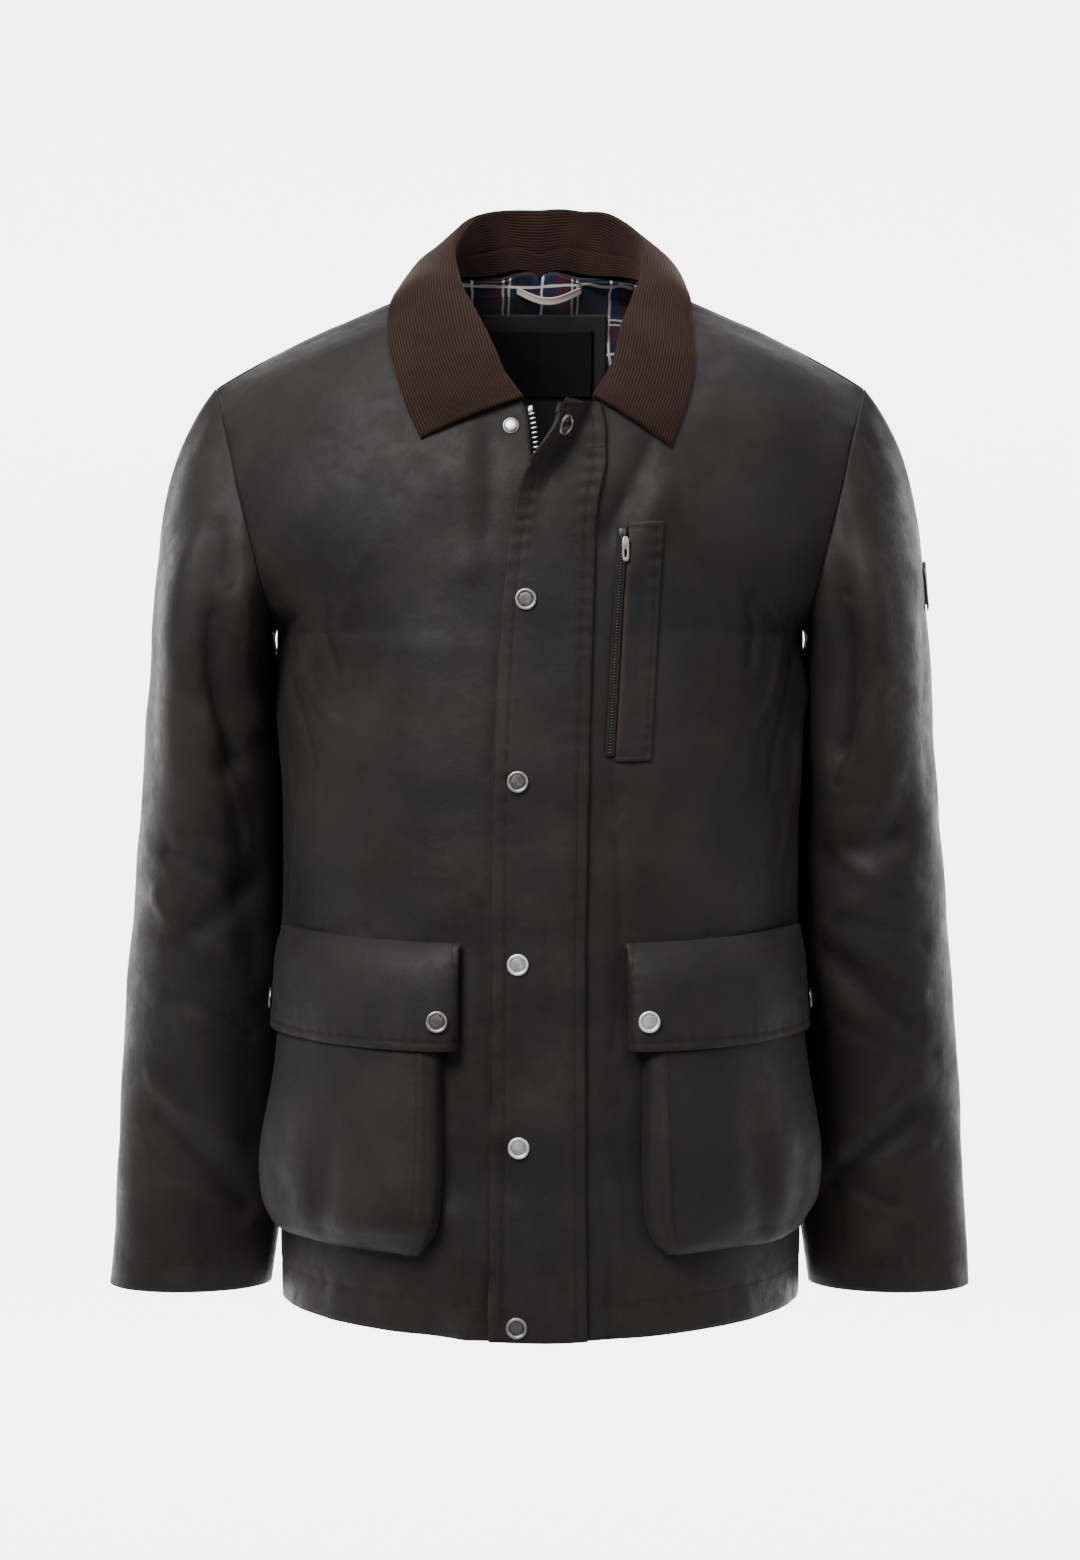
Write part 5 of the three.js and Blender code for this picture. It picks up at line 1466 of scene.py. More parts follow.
@dataclass
class Collar:
    """The corduroy collar: a stand, a roll over its top and a leaf down to its free edge."""

    stations: int = 170
    stand_steps: int = 88
    roll_steps: int = 22
    leaf_steps: int = 152
    roll_radius: float = 3.2
    stand_clear: float = 1.5
    wale: float = 2.1
    furrow: float = 0.5
    # on, hand, row, fold x y z, edge x z, gap, bow: from the right front round the back to the left
    table: tuple = (
        (Face.FRONT, Hand.RIGHT, 9.0, -13, -109, -73.5, -82, -103, 1, 1),
        (Face.FRONT, Hand.RIGHT, 9.8, -24, -99, -57, -93, -80, 1, 3),
        (Face.FRONT, Hand.RIGHT, 10.8, -38, -77, -29, -102, -52, 1.2, 5),
        (Face.FRONT, Hand.RIGHT, 11.8, -50, -44, -5, -106, -30, 1.6, 7),
        (Face.FRONT, Hand.RIGHT, 12.8, -58, -14, 12, -104, -14, 3.2, 8),
        (Face.BACK, Hand.RIGHT, 11.3, -61, 22, 33, -97, -13, 4.5, 9),
        (Face.BACK, Hand.RIGHT, 10.2, -49, 57, 51, -66, -16, 3, 7),
        (Face.BACK, Hand.RIGHT, 9.5, -26, 72, 55.5, -34, -14, 2, 5),
        (Face.BACK, Hand.RIGHT, 9.0, 0, 76, 56.5, 0, -13, 1.5, 4),
        (Face.BACK, Hand.LEFT, 9.5, 27, 71, 55.5, 34, -14, 2, 5),
        (Face.BACK, Hand.LEFT, 10.2, 53, 56, 52, 68, -16, 3, 7),
        (Face.BACK, Hand.LEFT, 11.3, 73, 22, 34, 100, -14, 4.8, 8),
        (Face.FRONT, Hand.LEFT, 12.8, 72, -12, 11, 104, -15, 5.8, 7),
        (Face.FRONT, Hand.LEFT, 11.8, 65, -40, -7, 106, -31, 1.8, 6),
        (Face.FRONT, Hand.LEFT, 10.8, 56, -71, -32, 107, -54, 1.2, 5),
        (Face.FRONT, Hand.LEFT, 9.8, 48, -94, -58, 101, -80, 1, 3),
        (Face.FRONT, Hand.LEFT, 9.0, 37, -109, -72, 90, -109, 1, 1),
    )

    def measured(self) -> Rows:
        """For each station: where its foot is sewn, the top of its fold and its free edge."""
        made = []
        for on, hand, row, fold_x, fold_y, fold_z, edge_x, edge_z, gap, bow in self.table:
            panel = plain_front(hand) if on is Face.FRONT else plain_back(hand)
            seam, _ = panel.place(0.0, row)
            point, normal = panel.over(edge_x, edge_z)
            edge = point + normal * (CORD_CLOTH + gap)
            made.append((*seam, fold_x, fold_y, fold_z, *edge, bow))
        return Rows("seamX seamY seamZ foldX foldY foldZ endX endY endZ bow", made)

    def section(self, u: Array) -> tuple[Array, Array]:
        """Points and ways out across the collar at stations u.

        A section lies in a plane with axes up the stand and across, away from the neck. The stand is
        straight, the roll is a circle arc until it heads for the free edge, and the leaf is a straight
        line pushed out by 4 bow f (1 - f).

        Args:
            u: station positions.

        Returns:
            Points and unit normals of shape (stations, steps, 3).
        """
        r = self.measured().at(u)
        fold, edge, seam = (
            np.stack([r[key + axis] for axis in "XYZ"], -1)[:, None] for key in ("fold", "end", "seam")
        )
        up = unit(fold - seam)
        away = edge - fold
        across = unit(away - up * dot(away, up)[..., None])
        centre = fold - up * self.roll_radius
        foot = seam + up * self.stand_clear - across * self.roll_radius
        reach = edge - centre
        turned = np.arctan2(dot(reach, across), dot(reach, up))

        def way(angle: Array) -> Array:
            """The direction at an angle from across the stand towards up it."""
            return -across * np.cos(angle)[..., None] + up * np.sin(angle)[..., None]

        f = np.linspace(0, 1, self.stand_steps, endpoint=False)[None, :, None]
        stand = lerp(foot, centre + way(turned * 0) * self.roll_radius, f)
        stand_way = np.broadcast_to(way(turned * 0), stand.shape)
        roll_way = way(turned * np.linspace(0, 1, self.roll_steps)[None])
        roll = centre + roll_way * self.roll_radius
        g = np.linspace(0, 1, self.leaf_steps + 1)[None, 1:]
        last = roll[:, -1:]
        length = np.linalg.norm(edge - last, axis=-1)
        bow = r["bow"][:, None]
        lean = np.arctan2(4 * bow * (1 - 2 * g), length)
        leaf = lerp(last, edge, g[..., None]) + roll_way[:, -1:] * (4 * bow * g * (1 - g))[..., None]
        ways = np.concatenate([stand_way, roll_way, way(turned - lean)], 1)
        return np.concatenate([stand, roll, leaf], 1), ways

    def build(self) -> None:
        """Makes the collar with its wales, which run along it at even distances from its free edge."""
        point, normal = self.section(np.linspace(0, len(self.table) - 1, self.stations))
        gaps = np.linalg.norm(np.diff(point, axis=1), axis=-1)
        from_edge = np.concatenate([np.cumsum(gaps[:, ::-1], 1)[:, ::-1], np.zeros((len(point), 1))], 1)
        along = np.linspace(0, 560, self.stations)[:, None] + from_edge * 0
        waver = 0.35 * ripple(along, from_edge, 60, 71)
        wale = (0.5 + 0.5 * np.cos(2 * math.pi * (from_edge + waver) / self.wale)) ** 0.7
        soft = 0.45 * ripple(along, from_edge, 46, 73) * smooth(from_edge / 12)
        stand_line = -0.7 * bell((from_edge - from_edge[:, :1] * 0.86) / 1.4)
        edge_roll = -0.8 * bell(from_edge / 2.2)
        places = raised((point, normal), soft + stand_line + edge_roll)
        wall = Wall.laid(places, 0.0, CORD_CLOTH)
        wall.outer = wall.outer - normal * (self.furrow * (1 - wale))[..., None]
        # The wale value also sets the corduroy's painted shade in its furrows.
        marks = {"wale": wale}
        cloth([wall], "collar", (CORDUROY, CORDUROY), marks=marks)


@dataclass
class StormFlap:
    """The flap over the zip, sewn along its seam and lifted at its top."""

    lift: float = CLOTH + 2.6
    seat: float = FLAP_CLOTH + 0.9
    rise: float = 14.0
    roll_over: float = 9.0
    steps: int = 34
    lines: int = 230
    rows: Rows = Rows("z seamX bendX turned open", [
        (-79, 41, 36.5, 36, 55),
        (-93, 44.5, 30.5, 35.5, 57),
        (-106, 45, 22.5, 34, 55),
        (-120, 45, 11.5, 24, 45),
        (-133, 42.5, 3.5, 18, 29),
        (-148, 39.5, -2, 14.5, 12),
        (-176, 38, -7, 14.5, 0),
        (-239, 35.5, -25.5, 2, 0),
        (-335, 33.2, -29.4, 2, 0),
        (-445, 31.2, -30.4, 2, 0),
        (-589, 31.2, -31.6, 2, 0),
        (-727, 32.4, -32.4, 2, 0),
    ])

    def grid(self, v: Array, steps: int) -> tuple[Array, Array, Array]:
        """The flap walked from its seam to its free edge.

        At each step the cloth moves on by cos(angle) across and sin(angle) outwards, where the angle
        grows to open over the last part, whose width is turned.

        Args:
            v: row positions.
            steps: steps across.

        Returns:
            Points, the ways out of the cloth, and the distance walked, of shape (rows, steps + 1).
        """
        r = {key: value[:, None] for key, value in self.rows.at(v).items()}
        laid = r["seamX"] - r["bendX"]
        total = laid + r["turned"]
        walked = np.linspace(0, 1, steps + 1)[None] * total
        angle = np.radians(r["open"] * smooth((walked - laid) / self.roll_over + 0.5))

        def before(values: Array) -> Array:
            """The sum of the steps before each place."""
            summed = np.concatenate([values[:, :1] * 0, np.cumsum(values[:, :-1], 1)], 1)
            return summed * total / steps

        x = r["seamX"] - before(np.cos(angle))
        out = before(np.sin(angle))
        point, normal = chest_at(x, r["z"] + 0 * x)
        forward = unit(normal * np.array([1, 1, 0]))
        sideways = unit(np.array([1.0, 0, 0]) - normal * normal[..., :1])
        facing = normal * np.cos(angle)[..., None] + sideways * np.sin(angle)[..., None]
        lift = lerp(self.seat, self.lift, smooth(walked / self.rise))
        return point + normal * lift[..., None] + forward * out[..., None], facing, walked

    def build(self) -> None:
        """Makes the flap with puckers along its two sewn lines, and the stitches on them."""
        v = np.linspace(0, self.rows.last, self.lines)
        point, facing, walked = self.grid(v, self.steps)
        z = point[..., 2]
        relief = pucker(walked - 8, z, 81, 0.5) + pucker(walked[:, -1:] - walked - 8.5, z, 83, 0.5)
        relief = relief + 0.35 * ripple(walked, z, 55, 85)
        places = raised((point, facing), relief)
        edge = np.minimum(walked[:, -1:] - walked, walked)
        marks = {"worn": bell(edge / 2.6)}
        cloth([Wall.laid(places, 0.0, FLAP_CLOTH)], "storm_flap", (WAXED, WAXED), marks=marks)
        lines = []
        for column in (8 / walked[:, -1] * self.steps, (1 - 8.5 / walked[:, -1]) * self.steps):
            lines.append(self.line(places, column, slice(2, -1)))
        across = np.linspace(2, self.steps - 2, 60)
        row = np.full(60, self.row_at(-719.5))
        lines.append((self.pick(places[0], row, across), self.pick(places[1], row, across)))
        STITCH.piece("storm_flap_stitching", lines)

    def row_at(self, z: float) -> float:
        """The grid row that reaches a height near the hem."""
        v = np.linspace(0, self.rows.last, self.lines)
        return float(np.interp(-z, -self.rows.at(v)["z"], np.arange(self.lines)))

    @staticmethod
    def pick(grid: Array, row: Array, column: Array) -> Array:
        """Values of a grid at fractional rows and columns, by the four round each."""
        i = np.clip(np.floor(row).astype(int), 0, grid.shape[0] - 2)
        j = np.clip(np.floor(column).astype(int), 0, grid.shape[1] - 2)
        f, g = (row - i)[:, None], (column - j)[:, None]
        low = lerp(grid[i, j], grid[i, j + 1], g)
        return lerp(low, lerp(grid[i + 1, j], grid[i + 1, j + 1], g), f)

    def line(self, places: tuple[Array, Array], column: Array, part: slice) -> tuple[Array, Array]:
        """A line down the flap at a fractional column for each row."""
        row = np.arange(self.lines, dtype=float)[part]
        return self.pick(places[0], row, column[part]), self.pick(places[1], row, column[part])


def basis(normal: Array) -> Array:
    """Axes of a small piece on a surface: its x runs sideways, its y up and its z out.

    Args:
        normal: the way out.

    Returns:
        The three axes as rows.
    """
    up = np.array([0, 0, 1.0])
    up = unit(up - normal * dot(up, normal))
    return np.stack([np.cross(up, normal), up, normal])


def lathe(profile: Sequence[tuple[float, float, float]], turns: int = 40) -> tuple[Array, Array]:
    """A turned shape: each profile point goes round in a circle of its radius.

    Args:
        profile: radius, height and recess of each point, from the middle outwards.
        turns: points round.

    Returns:
        A grid of shape (points, turns, 3) and the recess of each grid point.
    """
    sizes = np.array(profile)
    angle = np.arange(turns) * 2 * math.pi / turns
    x, y = sizes[:, :1] * np.cos(angle), sizes[:, :1] * np.sin(angle)
    grid = np.stack([x, y, sizes[:, 1:2] + 0 * x], -1)
    return grid, np.repeat(sizes[:, 2], turns)


def blocks(centres: Array, axes: Array, sizes: Sequence[float], square: float, rings: int) -> Array:
    """Rounded blocks: ellipsoids whose sines and cosines are raised to a power below 1 to square them.

    Args:
        centres: middles, one a row.
        axes: three unit axes for each, shape (count, 3, 3).
        sizes: full sizes along the axes.
        square: the power; 1 gives an ellipsoid.
        rings: rings from end to end.

    Returns:
        Grids of shape (count, rings, 10, 3).
    """
    tilt = np.linspace(-1, 1, rings)[:, None] * math.pi / 2
    turn = np.arange(10)[None] * math.pi / 5 + 0.31
    ring = np.maximum(powered(np.cos(tilt), square), 0.03)
    across, up = ring * powered(np.cos(turn), square), ring * powered(np.sin(turn), square)
    local = np.stack([powered(np.sin(tilt), square) + 0 * turn, across, up], -1)
    local = local * np.array(sizes) / 2
    return centres[:, None, None] + np.einsum("rtk,nkc->nrtc", local, axes)


def hard_piece(
    name: str,
    grids: Sequence[Array],
    finish: Finish,
    nodes: Sequence[str],
    recess: Optional[Array] = None,
    body: str = JACKET,
) -> bpy.types.Object:
    """One piece from closed rings of points, its ends capped and its normals turned out.

    Args:
        name: the piece's name.
        grids: grids of shape (rows, columns, 3) whose columns close.
        finish: its finish.
        nodes: the frame's nodes it stands for.
        recess: recess of each point, 0 if left out.
        body: the body it rides on.

    Returns:
        The piece.
    """
    points, faces, count = [], [], 0
    for grid in grids:
        made, quads = join_grids(np.asarray(grid)[None])
        points.append(made)
        faces.append(quads + count)
        count += len(made)
    points = np.concatenate(points)
    values = {"recess": np.zeros(len(points)) if recess is None else recess}
    obj = make_mesh(name, points, np.concatenate(faces), values=values)
    shape = bmesh.new()
    shape.from_mesh(obj.data)
    bmesh.ops.remove_doubles(shape, verts=shape.verts, dist=2e-6)
    bmesh.ops.holes_fill(shape, edges=shape.edges, sides=0)
    bmesh.ops.recalc_face_normals(shape, faces=shape.faces)
    for face in shape.faces:
        face.smooth = True
    shape.to_mesh(obj.data)
    shape.free()
    return publish(obj, (finish,), nodes, body)


@dataclass
class FrontZip:
    """The front zip: a tape behind each edge, shut teeth up to the slider and loose teeth above."""

    middle: float = 3.0
    foot_row: float = 0.32
    top_row: float = 8.92
    slider_row: float = 7.0
    tape_lift: float = -(CLOTH + REST_GAP)
    pitch: float = 3.4
    tooth: tuple = (4.6, 1.6, 2.0)

    @staticmethod
    def strip(hand: Hand, t: Array, distances: Array) -> tuple[Array, Array]:
        """Places at distances in from a front edge: s is the arc whose sine is distance over width."""
        panel = plain_front(hand)
        t, distances = np.broadcast_arrays(t[:, None], distances[None])
        r = panel.rows.at(t)
        turn = np.radians(r["turn"])
        inner = r["inRight"] if hand is Hand.RIGHT else r["inLeft"]
        s = np.arcsin(distances / (r["outX"] - inner) * np.sin(turn)) / turn
        return panel.place(s, t)

    def tapes(self) -> None:
        """The two tapes and the corduroy guard behind the open top."""
        for hand in Hand:
            t = np.linspace(self.foot_row, self.top_row, 150)
            across = np.linspace(-5.6, 8, 12)
            places = self.strip(hand, t, across)
            cord = 0.5 * bell((across + 5.0) / 0.9)
            wall = Wall.laid(raised(places, cord), self.tape_lift, TRIM_CLOTH)
            cloth([wall], f"zip_tape_{hand.word}", (TAPE, TAPE))
        t = np.linspace(7.5, 9, 60)
        across = np.linspace(-20, 8, 90)
        wale = 0.5 + 0.5 * np.cos(2 * math.pi * across / 2.1)
        places = self.strip(Hand.LEFT, t, across)
        wall = Wall.laid(places, self.tape_lift - TRIM_CLOTH - REST_GAP, CORD_CLOTH)
        wall.outer = wall.outer - places[1] * (0.4 * (1 - wale))[None, :, None]
        # The wale value also sets the corduroy's painted shade in its furrows.
        cloth([wall], "zip_guard", (CORDUROY, CORDUROY), marks={"wale": wale[None]})

    def tooth_rows(self, place: tuple[Array, Array], shift: float, lift: float) -> Array:
        """Teeth along a line of places, one every pitch, standing across the line.

        Args:
            place: points and ways out along the line.
            shift: share of the pitch where the first tooth stands.
            lift: how far out of the surface their middles are.

        Returns:
            Grids as blocks gives them.
        """
        points, normals = place
        travelled = travelled_along(points)
        stops = np.arange(shift * self.pitch, travelled[-1], self.pitch)
        centre = read_line(stops, travelled, points)
        out = unit(read_line(stops, travelled, normals))
        run = unit(read_line(stops + 0.5, travelled, points) - centre + 1e-9)
        run = np.where(np.linalg.norm(run, axis=-1, keepdims=True) < 0.5, np.array([0, 0, 1.0]), run)
        across = unit(np.cross(run, out))
        axes = np.stack([across, np.cross(out, across), out], 1)
        return blocks(centre + out * lift, axes, self.tooth, 0.45, 5)

    def teeth(self) -> None:
        """Shut teeth mesh in turn about the middle line; loose ones stand on each tape's edge."""
        z = np.linspace(-690, FRONT_ROWS.at(np.array(self.slider_row - 0.2))["inZ"], 400)
        sides = []
        for hand in Hand:
            line = chest_at(self.middle + hand.value * 1.15 + 0 * z, z)
            sides.append(self.tooth_rows(line, 0.5 if hand is Hand.LEFT else 0.0, -1.4))
        self.metal("zip_teeth", np.concatenate(sides))
        for hand in Hand:
            t = np.linspace(self.slider_row + 0.35, self.top_row - 0.1, 120)
            points, normals = self.strip(hand, t, np.array([-3.1]))
            shift = 0.5 if hand is Hand.LEFT else 0.0
            grids = self.tooth_rows((points[:, 0], normals[:, 0]), shift, -1.3)
            out = normals[-1, 0]
            upright = basis(out)[None][:, [1, 0, 2]]
            stop = blocks((points[-1, 0] - out * 1.2)[None], upright, (5.2, 3.6, 2.4), 0.45, 5)
            self.metal(f"zip_teeth_{hand.word}", np.concatenate([grids, stop]))

    @staticmethod
    def metal(name: str, grids: Array) -> None:
        """A row of teeth as one piece."""
        hard_piece(name, list(grids), SILVER, (name,))

    def slider(self) -> None:
        """The slider: a shield, a bridge over it and a tab that lies flat on it."""
        z = FRONT_ROWS.at(np.array(self.slider_row + 0.05))["inZ"]
        point, normal = chest_at(self.middle, z)
        axes = basis(normal)
        spots = ((0, 0, -0.9, 9.0, 12.0, 2.6), (0, 1.0, 0.7, 2.6, 7.0, 1.6), (0, -3.4, 0.9, 4.4, 7.4, 1.0))
        grids = []
        for x, y, lift, wide, high, deep in spots:
            middle = point + np.array([x, y, lift]) @ axes
            grids.extend(blocks(middle[None], axes[None][:, [1, 0, 2]], (high, wide, deep), 0.5, 9))
        hard_piece("zip_slider", grids, SILVER, ("zip_slider",))

    def build(self) -> None:
        """Makes the tapes, teeth and slider."""
        self.tapes()
        self.teeth()
        self.slider()


@dataclass
class ChestPocket:
    """The slanted welt on the left chest, with its zip along the inner edge."""

    top: tuple[float, float] = (60.3, -159.0)
    foot: tuple[float, float] = (51.1, -323.0)
    width: float = 24.6
    edge: float = 0.6
    zip_width: float = 6.4
    slider_z: float = -168.0
    slider_size: tuple[float, float, float] = (5.4, 8.0, 2.4)
    pull_size: tuple[float, float, float] = (4.6, 17.0, 1.2)
    pull_shift: float = 1.6
    overlap: float = 2.0
    pull_rings: tuple = (
        (0.0, 0.15), (0.06, 0.0), (0.94, 0.0), (1.0, 0.2), (1.0, 0.85),
        (0.92, 1.0), (0.5, 0.86), (0.06, 1.0), (0.0, 0.85), (0.0, 0.15),
    )

    def inner_x(self, z: Array) -> Array:
        """The welt's inner edge at a height, on the straight line from its top to its foot."""
        return lerp(self.top[0], self.foot[0], (z - self.top[1]) / (self.foot[1] - self.top[1]))

    def strip(self, across: Array, z: Array) -> tuple[Array, Array]:
        """Places at distances across from the inner edge."""
        across, z = np.broadcast_arrays(across[None], z[:, None])
        return FRONTS[Hand.LEFT].over(self.inner_x(z) + across, z)

    def build(self) -> None:
        """Makes the welt, its zip, the slider and the pull."""
        z = np.linspace(self.top[1], self.foot[1], 130)
        across = np.linspace(0, self.width, 24)
        places = self.strip(across, z)
        ends = np.minimum(z[0] - z, z - z[-1])[:, None]
        round_off = -0.7 * bell(across / 1.2)[None] - 0.9 * bell(across - self.width)[None]
        round_off = round_off - 0.9 * bell(ends / 1.0)
        sewn = pucker(across[None] - self.width + 4.2, z[:, None], 91, 0.3)
        sewn = sewn + pucker(ends - 4.2, across[None], 93, 0.25)
        bow = 1.3 * smooth(1 - across / 12)[None] * np.sin(math.pi * smooth((z[0] - z) / 164))[:, None]
        places = raised(places, CLOTH + REST_GAP + sewn + bow)
        wall = Wall.laid(raised(places, round_off), 0.0, CLOTH)
        marks = {"worn": bell(across / 2.2)[None] + 0 * ends}
        cloth([wall], "chest_welt", (WAXED, WAXED), marks=marks)
        self.stitches(places)
        self.zip()

    @staticmethod
    def stitches(places: tuple[Array, Array]) -> None:
        """Stitches along the top, the outer side and the foot."""
        point, normal = places
        lines = [(point[row, 1:-4], normal[row, 1:-4]) for row in (3, -4)]
        lines.append((point[4:-3, -5], normal[4:-3, -5]))
        STITCH.piece("chest_welt_stitching", lines)

    def zip(self) -> None:
        """The zip tape with its row of fine teeth, the slider and the tab that hangs from it."""
        z = np.linspace(self.top[1] - 4, self.foot[1] + 4, 120)
        across = np.linspace(-self.zip_width - self.edge, -self.edge, 9)
        lift = TRIM_CLOTH + REST_GAP
        cloth([Wall.laid(self.strip(across, z), lift, TRIM_CLOTH)], "chest_zip", (TAPE, TAPE))
        point, normal = FRONTS[Hand.LEFT].over(self.inner_x(z) - self.edge - self.zip_width / 2, z)
        teeth = Stitching(pitch=2.0, length=1.25, width=2.6, height=0.9).along(point + normal * lift, normal)
        hard_piece("chest_zip_teeth", list(teeth), GUNMETAL, ())
        slider_x = self.inner_x(self.slider_z) - self.edge - self.zip_width / 2
        point, normal = plain_front(Hand.LEFT).over(slider_x, self.slider_z)
        axes = basis(normal)
        lift = lift + REST_GAP + SEAM
        wide, high, deep = self.slider_size
        middle = point + normal * (lift + deep / 2)
        upright = axes[None][:, [1, 0, 2]]
        body = blocks(middle[None], upright, (high, wide, deep - 0.5), 0.5, 9)
        bridge = blocks((middle + normal * 0.6)[None], upright, (high * 0.55, 1.6, deep - 1.0), 0.6, 9)
        hard_piece("chest_slider", [*body, *bridge], GUNMETAL, ("chest_slider",))
        self.pull(point, axes, lift + SEAM + deep)

    def pull(self, point: Array, axes: Array, lift: float) -> None:
        """The tab: a rounded plate with a slot, carried round as one ring from its outline to the slot.

        Args:
            point: the slider's place on the cloth.
            axes: the slider's axes.
            lift: height of the tab's back.
        """
        wide, high, thick = self.pull_size
        down = (self.slider_size[1] + high) / 2 - self.overlap
        centre = point - axes[1] * down + np.array([self.pull_shift, 0, 0])
        turn = np.arange(48) * 2 * math.pi / 48
        c, s = np.cos(turn), np.sin(turn)
        outline = np.stack([powered(c, 0.55) * wide / 2, powered(s, 0.4) * high / 2], -1)
        slot = np.stack([powered(c, 0.8), powered(s, 0.6) * 3.0 - 3.0], -1)
        grid = [
            np.concatenate([lerp(outline, slot, inward), np.full((48, 1), height * thick)], -1)
            for inward, height in self.pull_rings
        ]
        placed = centre + np.array(grid) @ axes + axes[2] * lift
        hard_piece("chest_pull", [placed], NICKEL, ("chest_pull",), body=PULL_BODY)


@dataclass
class Snaps:
    """Press snaps: a cap with a raised rim, a groove and a flat middle, and a stud at the top."""

    cap: tuple = (
        (0.0, 1.10, 0.70), (2.0, 1.14, 0.65), (4.0, 1.08, 0.75), (4.7, 0.98, 0.9),
        (5.0, 0.90, 1.1), (5.25, 1.15, 1.0), (5.6, 1.70, 0.3), (6.3, 1.95, 0.1),
        (6.9, 1.92, 0.15), (7.35, 1.55, 0.4), (7.6, 0.80, 0.9), (7.6, 0.1, 1.1),
    )
    row: tuple = (
        ("collarbone", -9.6, -212),
        ("chest", -15, -336),
        ("waist", -15, -461),
        ("skirt", -14.4, -587),
        ("hem", -15.8, -712),
    )
    stud: tuple = (
        (0.0, 2.35, 0.0), (1.6, 2.4, 0.0), (2.9, 2.3, 0.0), (3.7, 1.95, 0.05), (4.2, 1.3, 0.3),
        (4.4, 0.75, 1.0), (4.7, 0.45, 1.1), (5.2, 0.45, 0.9), (5.5, 0.3, 1.0), (5.5, 0.0, 1.1),
    )

    @staticmethod
    def press(name: str, profile: tuple, point: Array, normal: Array, lift: float, finish: Finish) -> None:
        """Sets a turned piece on a place.

        Args:
            name: the piece and node.
            profile: radius, height and recess from the middle out.
            point: the place.
            normal: the way out there.
            lift: height of its foot above the place.
            finish: its metal.
        """
        grid, recess = lathe(profile)
        placed = point + normal * lift + grid @ basis(normal)
        hard_piece(name, [placed], finish, (name,), recess)

    def build(self, flap: StormFlap) -> None:
        """Makes the six caps down the flap and the stud.

        Args:
            flap: the storm flap that carries them.
        """
        for name, x, z in self.row:
            point, normal = chest_at(x, z)
            # The waist and skirt caps take the brighter nickel, a painted highlight.
            finish = HIGHLIGHT_NICKEL if name in ("waist", "skirt") else NICKEL
            self.press(f"snap_{name}", self.cap, point, normal, flap.lift + SEAM, finish)
        point, normal = chest_at(-20, -94)
        # The stud takes the brighter nickel, a painted highlight.
        self.press("stud_top", self.stud, point, normal, -0.4, HIGHLIGHT_NICKEL)
        points, _, _ = flap.grid(np.array([0.77, 1.07, 1.37]), 10)
        normal = unit(np.cross(points[1, 8] - points[1, 6], points[2, 7] - points[0, 7]))
        self.press("snap_neck", self.cap, points[1, 7], normal, SEAM, NICKEL)


